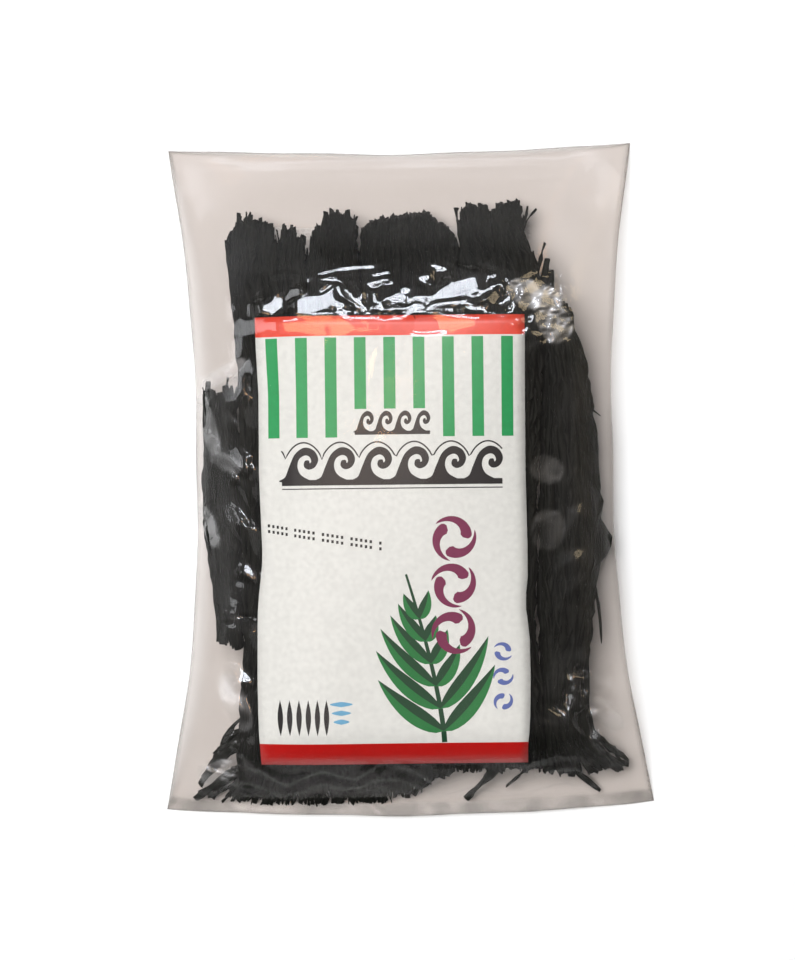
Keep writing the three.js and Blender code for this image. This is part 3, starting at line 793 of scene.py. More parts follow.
# Stations of y, centre x and half width, from the lower to the upper end. Tips and roots are the ragged
# ends: shares of the width, and the y that the strips reach there.
BUNCHES = {
    "wakame_left": dict(
        layer=TOP, strips=112, seed=11, fan=(-0.25, 0.5),
        stations=[(-93.5, -38.5, 14.5), (-75, -36, 14.6), (-40, -34.4, 14.6), (0, -35, 14.2),
                  (35, -37.6, 11.4), (60, -40.9, 10.8), (74, -40.4, 11.6)],
        tips=[(-1, 76), (-0.94, 79), (-0.65, 82.6), (-0.45, 80.6), (0, 80), (0.08, 77), (0.14, 72.5),
              (0.32, 72.5), (0.42, 78.3), (0.7, 78), (0.76, 75), (1, 74.6)],
        roots=[(-1, -95), (-0.4, -98), (1, -98.5)],
    ),
    "wakame_left_middle": dict(
        layer=TOP, strips=70, seed=23, fan=(0, 0.12),
        stations=[(-94, -14.6, 8), (-75, -13.2, 7.4), (-40, -12.4, 6.4), (0, -13, 6.8),
                  (30, -17.8, 7.6), (55, -20.8, 7.8), (72, -20.4, 6.6)],
        tips=[(-1, 74), (-0.8, 77.5), (-0.5, 79.5), (-0.3, 82.3), (0.55, 82.6), (1, 80)],
        roots=[(-1, -98.4), (1, -98)],
    ),
    "wakame_folded": dict(
        layer=TOP, strips=104, seed=37, folded=True, fan=(0.2, 0.12),
        stations=[(-93.5, 4.6, 10.2), (-75, 5.2, 10.4), (-40, 5, 10.4), (0, 4.8, 10.4),
                  (35, 3.8, 13.4), (62, 2.4, 14.8)],
        tips=[(-1, 76), (-0.85, 78.4), (-0.6, 80), (-0.3, 80.6), (0.1, 81.4), (0.35, 81.8),
              (0.5, 80.4), (0.7, 77.8), (0.85, 75.4), (1, 72)],
        roots=[(-1, -97), (-0.4, -94), (0.1, -89.5), (1, -88)],
    ),
    "wakame_right": dict(
        layer=TOP, strips=104, seed=41, fan=(0.2, 0.3),
        stations=[(-92, 28.2, 12), (-75, 28, 11.8), (-40, 27.6, 11.4), (0, 27.8, 11.6),
                  (38, 30.2, 11.6), (60, 30.4, 11.8), (78, 26.8, 9.2)],
        tips=[(-1, 85), (-0.9, 82.6), (-0.68, 84.4), (-0.25, 83.6), (0.1, 83), (0.5, 84.6), (1, 85)],
        roots=[(-1, -88), (0.4, -87.4), (1, -88.5)],
    ),
    "wakame_outer_right": dict(
        layer=BOTH, strips=88, seed=53, fan=(0.45, 0.6),
        stations=[(-84, 49, 8), (-65, 46.4, 5.6), (-45, 48, 7.6), (-20, 50, 9.4), (0, 49.8, 8.9),
                  (25, 49.8, 7), (38, 48.6, 5.8), (46, 47.3, 4), (53, 46.4, 2.2)],
        tips=[(-1, 57), (0, 54), (1, 51)],
        roots=[(-1, -88), (-0.3, -90.5), (0.2, -88.5), (1, -89)],
    ),
    "wakame_outer_left": dict(
        layer=BOTH, strips=44, seed=67, fan=(0, 0.2),
        stations=[(-46, -53.4, 2.8), (-28, -54.9, 4.6), (-10, -55.6, 5.8), (10, -55.5, 5.4),
                  (26, -55.7, 4.6)],
        tips=[(-1, 31), (-0.8, 30.2), (-0.5, 27), (0.1, 27.5), (0.35, 31), (1, 28)],
        roots=[(-1, -47), (1, -50)],
    ),
    "wakame_under_left": dict(
        layer=UNDER, strips=80, seed=71, fan=(0, 0.12),
        stations=[(-90, -25.4, 23.4), (-40, -24.4, 22), (0, -24.4, 21.6), (30, -25.4, 20.4),
                  (68, -28, 18.4)],
        tips=[(-1, 72), (1, 72)],
        roots=[(-1, -94), (1, -95)],
    ),
    "wakame_under_right": dict(
        layer=UNDER, strips=74, seed=83, fan=(0, 0.12),
        stations=[(-90, 19.2, 19.2), (-40, 18.8, 19), (0, 18.8, 18.8), (30, 18.6, 19.4),
                  (68, 17, 19.6)],
        tips=[(-1, 72), (1, 72)],
        roots=[(-1, -93), (-0.5, -88), (1, -87)],
    ),
}

print("strips laid in bunches:", sum(bunch["strips"] for bunch in BUNCHES.values()))

# %% [markdown]
# A few strips come loose. The ones that stand out in the photograph are laid point by point. The
# splayed strips in the two lower corners are drawn as fans, from places along one line to places along
# another.

# %% Loose strips
# Points of x, y and share of the height, and a width.
STRAYS = {
    "wakame_left": [
        ([(-44, -80, 0.4), (-51, -86, 0.3), (-58, -91, 0.3), (-66.5, -97, 0.4)], 2.6),
        ([(-50.5, 68, 0.4), (-52.6, 71, 0.4), (-53, 74, 0.4), (-52.4, 77, 0.4)], 1.4),
        ([(-39, 66, 0.5), (-37.6, 71, 0.5), (-38.4, 75.6, 0.5)], 0.9),
    ],
    "wakame_folded": [
        ([(13, -84, 0.4), (10.1, -88.5, 0.4), (5, -93, 0.4), (0.5, -97, 0.4)], 3.0),
    ],
    "wakame_right": [
        ([(29, -82, 0.4), (25.9, -88.5, 0.4), (21, -94, 0.4), (17.1, -98.4, 0.4)], 3.4),
        ([(39, -83, 0.4), (36.3, -88, 0.4), (32, -92, 0.4), (29.5, -94.5, 0.4)], 2.4),
        ([(34.5, 64, 0.5), (36.6, 71, 0.5), (37.8, 77.4, 0.5), (41.8, 82.6, 0.5)], 1.3),
        ([(36.8, 73, 0.5), (37.8, 77, 0.5), (38.6, 80, 0.5), (39.0, 83.4, 0.6)], 1.0),
        ([(37.5, 52, 0.5), (39.8, 58, 0.5), (41.8, 64, 0.5), (43.6, 71.4, 0.5)], 1.8),
        ([(36.5, 50, 0.5), (37.6, 57, 0.5), (38.4, 63, 0.5), (38.6, 69, 0.5)], 2.8),
        ([(38.5, 50, 0.5), (40, 57, 0.5), (40.6, 63, 0.5), (40.4, 68.4, 0.5)], 2.8),
        ([(40, 48, 0.5), (42, 54, 0.5), (43.4, 60, 0.5), (44.6, 66.4, 0.5)], 2.8),
        ([(41, 48, 0.4), (43.5, 53, 0.4), (45.2, 58, 0.4), (45.6, 63, 0.4)], 2.6),
    ],
    "wakame_outer_right": [
        ([(53, -10, 0.5), (58, -14, 0.5), (60.6, -18, 0.5), (60.8, -22, 0.5), (57, -27, 0.5)], 4.2),
        ([(54, 24, 0.5), (56.5, 21, 0.5), (58, 19.5, 0.5), (60, 18.6, 0.5)], 1.4),
        ([(55, -25, 0.5), (57.4, -33, 0.5), (58.4, -42, 0.5), (58.8, -51, 0.5)], 1.0),
        ([(46, -84, 0.4), (50, -89, 0.3), (54, -93, 0.3), (58.5, -97, 0.4)], 2.2),
    ],
}

# How many, the line they start on and the line they end on.
FANS = {
    "wakame_left": (
        14, [(-45, -68), (-36, -86)], [(-57, -79), (-60, -84), (-66, -95), (-58, -98), (-50, -98)]
    ),
    "wakame_outer_right": (
        11, [(50, -72), (42, -82)], [(64, -85), (68.6, -89), (63, -88), (57, -91), (52, -92), (44, -90)]
    ),
}
print("loose strips:", sum(map(len, STRAYS.values())) + sum(count for count, *_ in FANS.values()))

# %% [markdown]
# The strips fill the room between the two films. Its floor is the back film and its ceiling the front film,
# or the label where that lies, each with a little play. A bunch takes its layer's share of this room, and
# its section is a rounded slab.

# %% Room for the bunches
FLOOR_PLAY = 0.7
CEILING_PLAY = 1.1
LABEL_ROOM = 1.3
LABEL_FOOT_ROOM = 1.4
PLEAT_ROOM = 1.4
LEAST_ROOM = 0.6
FULLNESS = 0.55
STATION_ROUNDING = (-9, -3, 3, 9)


def room_floor(x, y):
    return back_height(x, y) + FLOOR_PLAY


def room_ceiling(x, y):
    under_label = (LABEL_ROOM + LABEL_FOOT_ROOM * smoothstep(-y, 62, 84)) * label_cover(x, y)
    under_pleats = PLEAT_ROOM * smoothstep(-y, 84, 88)
    ceiling = front_height(x, y) - CEILING_PLAY - under_label - under_pleats
    return np.maximum(ceiling, room_floor(x, y) + LEAST_ROOM)


def layer_of(bunch, x, y):
    """The lower and the upper z of a bunch's layer."""
    floor = room_floor(x, y)
    room = room_ceiling(x, y) - floor
    return [floor + room * share for share in bunch["layer"]]


def lift(bunch, x, y, share, height):
    """The z of a point of a bunch, from its shares of the bunch's width and of its layer's height."""
    low, high = layer_of(bunch, x, y)
    bulge = (1 - np.abs(share) ** (2 / FULLNESS)) ** (FULLNESS / 2)
    return (low + high) / 2 + (2 * height - 1) * (high - low) / 2 * bulge


def bunch_line(bunch, y):
    """The centre and half width of a bunch at y, with the corners between stations rounded off."""
    ys, centres, halves = np.array(bunch["stations"], float).T
    centre = np.mean([np.interp(y + s, ys, centres) for s in STATION_ROUNDING], 0)
    half = np.mean([np.interp(y + s, ys, halves) for s in STATION_ROUNDING], 0)
    return centre, half


middle = np.array(0.0)
print(f"room at the middle: {float(room_ceiling(middle, middle) - room_floor(middle, middle)):.1f} mm")

# %% [markdown]
# A guide keeps its share of the bunch's width and height, wanders a little round it and drifts slowly across
# its neighbours, as packed strips do. In the folded bunch each guide also bends over at the top and comes
# back underneath. Past the solid's cut ends the guides fan out.

# %% Guide lines for the strips
GUIDE_STEP = 5.0
FOLD_TURN = (0.25, 2.6)
# Waves along a guide: size as a share of the width or height, and length in millimetres per radian.
SIDE_WAVES = ((0.09, 17), (0.06, 7))
HEIGHT_WAVES = ((0.07, 13), (0.06, 6))


def ragged(draw):
    """How far a strip ends from its bunch's outline: most a little short, some a good deal."""
    return draw.uniform(-1.8, 0.7) - 3.2 * draw.random() ** 5


def waves(y, sizes, phases):
    return sum(size * np.sin(y / run + phase) for (size, run), phase in zip(sizes, phases))


def guide_line(bunch, draw, across, level):
    """One guide's x, y and z, from its place across the bunch and its level in the layer."""
    low, high = bunch["stations"][0][0], bunch["stations"][-1][0]
    folded = bunch.get("folded", False)
    start = np.interp(across, *zip(*bunch["roots"])) + draw.uniform(-1.4, 1.2)
    tip = np.interp(across, *zip(*bunch["tips"])) + (draw.uniform(-0.5, 0.3) if folded else ragged(draw))
    end = high if folded else tip
    y = np.linspace(start, end, int((end - start) / GUIDE_STEP) + 2)
    sway = draw.normal(0, 0.8) * smoothstep(y, end - 10, end) * (not folded)
    turn = np.zeros_like(y)
    if folded:
        over = np.linspace(*FOLD_TURN, 9)
        y = np.append(y, high + (tip - high) * np.sin(over))
        turn, sway = np.append(turn, over), np.append(sway, 0 * over)
    centre, half = bunch_line(bunch, np.minimum(y, high))
    phase = draw.uniform(0, 6.3, 4)
    drift = draw.normal(0, 0.16) * np.linspace(-1, 1, len(y))
    calm = smoothstep(high - y, 4, 22)
    share = np.clip(across + (waves(y, SIDE_WAVES, phase[:2]) + drift) * calm, -0.97, 0.97)
    height = np.clip(level + waves(y, HEIGHT_WAVES, phase[2:]), 0.02, 0.98)
    lean, spread = bunch["fan"]
    past = np.maximum(low + 3 - y, 0)
    x = centre + share * half + sway + (lean + spread * across) * past
    height = 0.5 + (height - 0.5) * np.cos(turn)
    return x, y, lift(bunch, x, y, share, height)


sample = guide_line(BUNCHES["wakame_right"], np.random.default_rng(1), 0.5, 0.5)
print("points on one guide:", len(sample[0]))

# %% [markdown]
# The guides are spread over a bunch's width by steps of the golden ratio, so that one never repeats the
# place of another. Most lie near the bunch's skin, where they are seen. Each strip is narrow, middling or
# wide, and thins a little at both ends.

# %% All guides of a bunch
GOLDEN_STEP = 0.618034
# For each layer, the share of strips that lie near its skin, and the height that the skin is at.
SKINS = {UNDER: (0.6, 0.0), TOP: (0.8, 1.0), BOTH: (0.7, 1.0)}
WIDTH_RANGES = ((0.8, 1.5), (1.5, 2.6), (2.6, 3.5))
WIDTH_ODDS = (0.2, 0.6, 0.2)
END_THINNING = 0.7


def fan_strips(name):
    """The loose strips of a bunch's fan, each from a point of one line to the same share of the other."""
    if name not in FANS:
        return []
    count, *lines = FANS[name]
    draw = np.random.default_rng(BUNCHES[name]["seed"] + 1)
    strips = []
    for k in range(count):
        at = (k + draw.uniform(0.2, 0.8)) / count
        first, last = (
            np.array([np.interp(at, np.linspace(0, 1, len(line)), column) for column in zip(*line)])
            for line in lines
        )
        bow = np.array([last[1] - first[1], first[0] - last[0]]) * draw.uniform(-0.12, 0.12)
        through = [first + (last - first) * t + bow * math.sin(math.pi * t) for t in np.linspace(0, 1, 5)]
        height = draw.uniform(0.2, 0.6)
        strips.append(([(*place, height) for place in through], draw.uniform(1.8, 3.2)))
    return strips


def bunch_guides(name):
    """Every guide of a bunch: its points and the width of its strip."""
    bunch = BUNCHES[name]
    draw = np.random.default_rng(bunch["seed"])
    skin_share, skin = SKINS[bunch["layer"]]
    guides = []
    for k in range(bunch["strips"]):
        across = 0.96 * (2 * ((k * GOLDEN_STEP) % 1) - 1)
        near_skin = draw.random() < skin_share
        depth = draw.uniform(0, 0.22) if near_skin else draw.uniform(0.2, 1)
        width = draw.choice([draw.uniform(*ends) for ends in WIDTH_RANGES], p=WIDTH_ODDS)
        guides.append((guide_line(bunch, draw, across, abs(skin - depth)), width))
    for through, width in STRAYS.get(name, []) + fan_strips(name):
        x, y, share = (np.array(column, float) for column in zip(*through))
        guides.append(((x, y, lift(bunch, x, y, 0 * x, share)), width))
    return guides


def guide_mesh(name):
    """The guides as chains of edges, with each strip's width and number stored on its points."""
    points, edges, widths, numbers = [], [], [], []
    for number, ((x, y, z), width) in enumerate(bunch_guides(name)):
        first = len(points)
        points += np.stack([x, y, z], -1).tolist()
        edges += [(first + i, first + i + 1) for i in range(len(x) - 1)]
        ends = width * END_THINNING * MM
        widths += [ends] + [width * MM] * (len(x) - 2) + [ends]
        numbers += [number * 1.7] * len(x)
    mesh = bpy.data.meshes.new(name + "_guides")
    mesh.from_pydata((np.array(points) * MM).tolist(), edges, [])
    mesh.attributes.new("strip_width", "FLOAT", "POINT").data.foreach_set("value", widths)
    mesh.attributes.new("strip_number", "FLOAT", "POINT").data.foreach_set("value", numbers)
    return mesh


print("guides of the right bunch:", len(bunch_guides("wakame_right")))

# %% [markdown]
# ## From guide to ribbon
# Geometry Nodes do to each guide what drying does to a strip. The line is cut in short steps, a fine noise
# pushes the steps about, and the ribbon twists as it goes. Its section is a flat hexagon, because drying
# leaves a strip some tenths of a millimetre thick. All ribbons share one tree, and its sizes are inputs.
# Noise stays mostly between 0.3 and 0.7, so these are the limits that twist and swell are spread from.

# %% The ribbon tree
NOISE_LIMITS = {"From Min": 0.3, "From Max": 0.7}
TWIST = {"To Min": -2.2, "To Max": 2.2}
SWELL = {"To Min": 0.65, "To Max": 1.3}
SECTION_SIDES = 6


def ribbon_inputs(tree):
    """The tree's outer sockets, and what its group input gives."""
    tree.interface.new_socket("Geometry", in_out="OUTPUT", socket_type="NodeSocketGeometry")
    tree.interface.new_socket("Geometry", in_out="INPUT", socket_type="NodeSocketGeometry")
    for label in ("Step", "Crinkle", "Crinkle size", "Flatness"):
        tree.interface.new_socket(label, in_out="INPUT", socket_type="NodeSocketFloat")
    tree.interface.new_socket("Material", in_out="INPUT", socket_type="NodeSocketMaterial")
    return add(tree, "NodeGroupInput").outputs


def crinkled_lines(tree, given, number):
    """The guides as finely cut, crinkled and twisted curves, and a noise for their width."""
    lines = add(tree, "GeometryNodeMeshToCurve", {"Mesh": given["Geometry"]}).outputs[0]
    cut = {"Curve": lines, "Length": given["Step"]}
    fine = add(tree, "GeometryNodeResampleCurve", cut, mode="LENGTH").outputs[0]
    place = {0: add(tree, "GeometryNodeInputPosition").outputs[0], 1: given["Crinkle size"]}
    scaled = add(tree, "ShaderNodeVectorMath", place, operation="DIVIDE").outputs[0]
    own = add(tree, "ShaderNodeCombineXYZ", {"X": number, "Z": number}).outputs[0]
    apart = add(tree, "ShaderNodeVectorMath", {0: scaled, 1: own}, operation="ADD").outputs[0]
    rough = {"Vector": apart, "Scale": 1.0, "Detail": 2.0, "Roughness": 0.6}
    crinkles = add(tree, "ShaderNodeTexNoise", rough).outputs
    centre = {0: crinkles["Color"], 1: (0.5, 0.5, 0.5)}
    centred = add(tree, "ShaderNodeVectorMath", centre, operation="SUBTRACT").outputs[0]
    strength = {0: centred, "Scale": given["Crinkle"]}
    push = add(tree, "ShaderNodeVectorMath", strength, operation="SCALE").outputs[0]
    moved = add(tree, "GeometryNodeSetPosition", {"Geometry": fine, "Offset": push}).outputs[0]
    slower = {0: apart, 1: (0.4, 0.4, 0.4)}
    slow = add(tree, "ShaderNodeVectorMath", slower, operation="MULTIPLY").outputs[0]
    drift = add(tree, "ShaderNodeTexNoise", {"Vector": slow, "Scale": 1.0, "Detail": 1.0}).outputs[0]
    turn = add(tree, "ShaderNodeMapRange", {"Value": drift, **NOISE_LIMITS, **TWIST}).outputs[0]
    return add(tree, "GeometryNodeSetCurveTilt", {"Curve": moved, "Tilt": turn}).outputs[0], crinkles[0]


def ribbon_tree():
    tree = bpy.data.node_groups.new("dried_ribbons", "GeometryNodeTree")
    given = ribbon_inputs(tree)
    width = add(tree, "GeometryNodeInputNamedAttribute", {"Name": "strip_width"}).outputs["Attribute"]
    number = add(tree, "GeometryNodeInputNamedAttribute", {"Name": "strip_number"}).outputs["Attribute"]
    curves, noise = crinkled_lines(tree, given, number)
    swell = add(tree, "ShaderNodeMapRange", {"Value": noise, **NOISE_LIMITS, **SWELL}).outputs[0]
    radius = add(tree, "ShaderNodeMath", {0: width, 1: swell}, operation="MULTIPLY").outputs[0]
    sized = add(tree, "GeometryNodeSetCurveRadius", {"Curve": curves, "Radius": radius}).outputs[0]
    circle = {"Resolution": SECTION_SIDES, "Radius": 0.5}
    ring = add(tree, "GeometryNodeCurvePrimitiveCircle", circle, mode="RADIUS").outputs["Curve"]
    flat = add(tree, "ShaderNodeCombineXYZ", {"X": 1.0, "Y": given["Flatness"], "Z": 1.0}).outputs[0]
    section = add(tree, "GeometryNodeTransform", {"Geometry": ring, "Scale": flat}).outputs[0]
    sweep = {"Curve": sized, "Profile Curve": section, "Fill Caps": True}
    sweep["Scale"] = add(tree, "GeometryNodeInputRadius").outputs[0]
    swept = add(tree, "GeometryNodeCurveToMesh", sweep).outputs[0]
    real = add(tree, "GeometryNodeRealizeInstances", {"Geometry": swept}).outputs[0]
    paint = {"Geometry": real, "Material": given["Material"]}
    add(tree, "NodeGroupOutput", {"Geometry": add(tree, "GeometryNodeSetMaterial", paint).outputs[0]})
    return tree


def set_input(modifier, label, value):
    """Sets a modifier's input by its socket's identifier."""
    for socket in modifier.node_group.interface.items_tree:
        if socket.name == label and socket.in_out == "INPUT":
            modifier[socket.identifier] = value


RIBBONS = ribbon_tree()
print("nodes in the ribbon tree:", len(RIBBONS.nodes))

# %% [markdown]
# ## Dried seaweed
# A brown alga dried in the air: nearly black, with an olive tinge where a strip is thin. Its skin is
# leathery, so it has a broad, weak sheen, and fine wrinkles run along each strip.

# %% The wakame's material
def dried_wakame():
    material, tree, output = new_material("brown_alga_air_dried")
    wrinkles = grain(tree, (0.9, 9, 0.9), 4.0)
    patches = grain(tree, (9, 22, 9))
    both = add(tree, "ShaderNodeMath", {0: wrinkles, 1: patches}, operation="MULTIPLY").outputs[0]
    shade = add(tree, "ShaderNodeValToRGB", {0: both})
    dark, pale = shade.color_ramp.elements
    dark.position, pale.position = 0.14, 0.45
    dark.color, pale.color = linear("#070906"), linear("#151712")
    rough = add(tree, "ShaderNodeMapRange", {"Value": wrinkles, "To Min": 0.5, "To Max": 0.85}).outputs[0]
    relief = {"Height": wrinkles, "Strength": 0.5, "Distance": 0.3 * MM}
    skin = add(
        tree, "ShaderNodeBsdfPrincipled",
        {"Base Color": shade.outputs[0], "Roughness": rough, "Specular IOR Level": 0.16,
         "Normal": add(tree, "ShaderNodeBump", relief).outputs[0]},
    )
    tree.links.new(skin.outputs[0], output.inputs["Surface"])
    return material


WAKAME = dried_wakame()
print("nodes in the wakame's material:", len(WAKAME.node_tree.nodes))

# %% [markdown]
# ## Build the bunches
# The core is the bunch's rounded slab, drawn in by a millimetre and closed at both ends. In the folded
# bunch it is rounded off over the top.

# %% Cores
CORE_SIDES = 20
CORE_DEPTH = 1.1
CORE_LEAST_REACH = 0.25
FOLD_RISE = 15.5
FOLD_SQUARENESS = 2.8


def core_points(bunch):
    low = max(bunch["stations"][0][0], *(y for _, y in bunch["roots"]))
    high = bunch["stations"][-1][0]
    folded = bunch.get("folded", False)
    y = np.linspace(low + 1, high - (0 if folded else 4), 46)
    thin = np.ones_like(y)
    if folded:
        rise = np.linspace(0.2, 0.97, 8)
        y = np.append(y, high + FOLD_RISE * rise)
        thin = np.append(thin, (1 - rise**FOLD_SQUARENESS) ** (1 / FOLD_SQUARENESS))
    centre, half = bunch_line(bunch, np.minimum(y, high))
    angle = -2 * math.pi * np.arange(CORE_SIDES) / CORE_SIDES
    cos, sin = np.cos(angle), np.sin(angle)
    share = np.sign(cos) * np.abs(cos) ** FULLNESS
    rise = np.sign(sin) * np.abs(sin) ** FULLNESS
    x = centre[:, None] + share * (np.maximum(half - CORE_DEPTH, half * 0.5) * thin)[:, None]
    grid_y = np.repeat(y[:, None], CORE_SIDES, 1)
    low_z, high_z = layer_of(bunch, x, grid_y)
    reach = np.maximum((high_z - low_z) / 2 * thin[:, None] - CORE_DEPTH, CORE_LEAST_REACH)
    return np.stack([x, grid_y, (low_z + high_z) / 2 + rise * reach], -1)


def loft_faces(rings, sides):
    faces = []
    for j in range(rings - 1):
        for i in range(sides):
            a, b = j * sides + i, j * sides + (i + 1) % sides
            faces.append([a, b, b + sides, a + sides])
    faces.append(list(range(sides))[::-1])
    faces.append([(rings - 1) * sides + i for i in range(sides)])
    return faces


print("points on one core:", core_points(BUNCHES["wakame_left"]).size // 3)

# %% [markdown]
# Strips that would stick out through a film are pressed flat against it, as the real film does when it is
# pulled tight. The front film is read off at the drawn bag's own points, creases and all.

# %% Press the strips inside the film
FILM_PLAY = 0.2


def film_height(x, y):
    """The height of the drawn front film, creases and all, at any x, y."""
    columns, rows = len(FRONT_US), len(FRONT_VS)
    u = np.clip(x / half_width(y), -1, 1)
    v = 2 * (y - bottom_edge(u)) / (top_edge(u) - bottom_edge(u)) - 1
    at_u = np.interp(u, FRONT_US, np.arange(columns))
    at_v = np.interp(v, FRONT_VS, np.arange(rows))
    i, j = np.minimum(at_u.astype(int), columns - 2), np.minimum(at_v.astype(int), rows - 2)
    s, t = at_u - i, at_v - j
    grid = bag_points[: rows * columns, 2].reshape(rows, columns)
    near = grid[j, i] * (1 - s) + grid[j, i + 1] * s
    far = grid[j + 1, i] * (1 - s) + grid[j + 1, i + 1] * s
    return near * (1 - t) + far * t


def press(mesh):
    """Presses strips flat where they would stick out through either film."""
    points = np.empty(3 * len(mesh.vertices))
    mesh.vertices.foreach_get("co", points)
    points = points.reshape(-1, 3) / MM
    x, y, z = points.T
    floor = back_height(x, y) + FILM_PLAY
    ceiling = np.maximum(film_height(x, y) - FILM_PLAY, floor + FILM_PLAY)
    points[:, 2] = np.clip(z, floor, ceiling)
    mesh.vertices.foreach_set("co", (points * MM).ravel())


print(f"drawn film at the middle: {float(film_height(middle, middle)):.1f} mm")

# %% [markdown]
# Each bunch's guides are given the ribbon tree as a modifier, and its result becomes a plain mesh. Core and
# ribbons are joined in one mesh, because they stand for one solid of the model. The lower layer is hardly
# seen, so its ribbons are cut in longer steps.

# %% Ribbons and bunches
RIBBON_SIZES = {"Crinkle": 1.8 * MM, "Crinkle size": 5.0 * MM, "Flatness": 0.34}
RIBBON_STEP = 2.4
HIDDEN_STEP = 3.4


def build_ribbons(name):
    guides = bpy.data.objects.new(name + "_guides", guide_mesh(name))
    bpy.context.scene.collection.objects.link(guides)
    modifier = guides.modifiers.new("ribbons", "NODES")
    modifier.node_group = RIBBONS
    step = HIDDEN_STEP if BUNCHES[name]["layer"] == UNDER else RIBBON_STEP
    for label, value in {"Step": step * MM, **RIBBON_SIZES, "Material": WAKAME}.items():
        set_input(modifier, label, value)
    depsgraph = bpy.context.evaluated_depsgraph_get()
    ribbons = bpy.data.meshes.new_from_object(guides.evaluated_get(depsgraph))
    bpy.data.objects.remove(guides)
    press(ribbons)
    return ribbons


def build_bunch(name):
    ribbons = build_ribbons(name)
    core = core_points(BUNCHES[name])
    body = bpy.data.meshes.new(name + "_core")
    body.from_pydata((core.reshape(-1, 3) * MM).tolist(), [], loft_faces(len(core), CORE_SIDES))
    joined = bmesh.new()
    joined.from_mesh(ribbons)
    joined.from_mesh(body)
    mesh = bpy.data.meshes.new(name + "_strips")
    joined.to_mesh(mesh)
    joined.free()
    bpy.data.meshes.remove(ribbons)
    bpy.data.meshes.remove(body)
    mesh.materials.clear()
    mesh.materials.append(WAKAME)
    mesh.shade_smooth()
    piece = bpy.data.objects.new(name + "_strips", mesh)
    bpy.context.scene.collection.objects.link(piece)
    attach(piece, "root")
    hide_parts(name)
    return piece


for bunch_name in BUNCHES:
    strips = build_bunch(bunch_name)
    print(bunch_name, "triangles:", sum(len(p.vertices) - 2 for p in strips.data.polygons))

# %% [markdown]
# ## The label's print
# The label is a sheet of coated paper, 80 by 134 mm. Its print is generic: red bands at both ends, a row of
# green stripes, a dark wave scroll, plum swirls, small blue swirls and a green sprig. Each printed shape is
# an outline, and one triangulation cuts the sheet along all of them at once. So every shape has a sharp edge
# at any distance, and the print bends with the paper. First come the shapes, as closed outlines.

# %% Outlines for the print
BEND_STEP = 2.5


def block(x0, y0, x1, y1):
    """A rectangle, with a point every few millimetres so that it bends with the sheet."""
    corners = np.array([(x0, y0), (x1, y0), (x1, y1), (x0, y1), (x0, y0)], float)
    outline = []
    for a, b in zip(corners[:-1], corners[1:]):
        shares = np.arange(0, 1, 1 / max(1, round(math.dist(a, b) / BEND_STEP)))
        outline += [tuple(a + (b - a) * share) for share in shares]
    return outline


def stroke(line, widths):
    """A line drawn with a brush, from its points and the brush's width at each."""
    line = np.array(line, float)
    ahead = np.gradient(line, axis=0)
    side = np.stack([-ahead[:, 1], ahead[:, 0]], -1)
    side /= np.linalg.norm(side, axis=1)[:, None]
    half = np.array(widths, float)[:, None] / 2
    return [tuple(p) for p in np.concatenate([line + side * half, (line - side * half)[::-1]])]


def comma(centre, radius, start, sweep, thick):
    """A comma-shaped swirl: a fat head that thins to a tail as it curls round."""
    t = np.linspace(0, 1, 20)
    angle = start + sweep * t
    reach = radius * (0.5 + 0.44 * t)
    line = np.stack([centre[0] + reach * np.cos(angle), centre[1] + reach * np.sin(angle)], -1)
    widths = radius * thick * (1 - t) ** 0.7 * np.clip(7 * t + 0.4, 0, 1) + 0.1
    return stroke(line, widths)


def smooth(points, steps=5):
    """A closed outline through the points, rounded by a Catmull-Rom spline."""
    p = np.array(points, float)
    before, after, beyond = np.roll(p, 1, 0), np.roll(p, -1, 0), np.roll(p, -2, 0)
    t = (np.arange(steps) / steps)[:, None, None]
    curve = (
        2 * p + (after - before) * t + (2 * before - 5 * p + 4 * after - beyond) * t**2
        + (3 * p - before - 3 * after + beyond) * t**3
    ) / 2
    return [tuple(q) for q in curve.transpose(1, 0, 2).reshape(-1, 2)]


# One wave of a running scroll, 1 tall and 1 long: up its back, over the crest, and down its face.
WAVE = [(-0.04, 0.02), (0.1, 0.16), (0.22, 0.46), (0.38, 0.8), (0.64, 0.98), (0.9, 0.9), (1.02, 0.66),
        (0.94, 0.44), (0.76, 0.36), (0.63, 0.45), (0.65, 0.6), (0.76, 0.62), (0.79, 0.54), (0.83, 0.6),
        (0.78, 0.72), (0.66, 0.76), (0.5, 0.66), (0.45, 0.44), (0.54, 0.22), (0.76, 0.08), (1.0, 0.0)]


def lozenge(x, y, half_wide, half_high):
    """A pointed oval that stands on its tip."""
    t = np.linspace(0, 1, 9)
    right = np.stack([half_wide * np.sin(math.pi * t), half_high * (2 * t - 1)], -1)
    left = np.stack([-half_wide * np.sin(math.pi * t), half_high * (1 - 2 * t)], -1)[1:-1]
    return [tuple(p) for p in np.concatenate([right, left]) + (x, y)]


def leaf(root, angle, length, width, bend):
    """A lance-shaped leaf from its root, as the outlines of its two halves."""
    t = np.linspace(0, 1, 14)
    heading = angle + bend * t
    steps = np.stack([np.cos(heading), np.sin(heading)], -1) * length / (len(t) - 1)
    rib = np.array(root) + np.concatenate([[(0, 0)], np.cumsum(steps[1:], 0)])
    side = np.stack([-np.sin(heading), np.cos(heading)], -1)
    half = (width / 2 * np.sin(math.pi * t**0.7) ** 0.9)[:, None] + 0.02
    upper = [tuple(p) for p in np.concatenate([rib, (rib + side * half)[::-1]])]
    lower = [tuple(p) for p in np.concatenate([rib - side * half, rib[::-1]])]
    return upper, lower


print("points round a wave:", len(smooth(WAVE)))

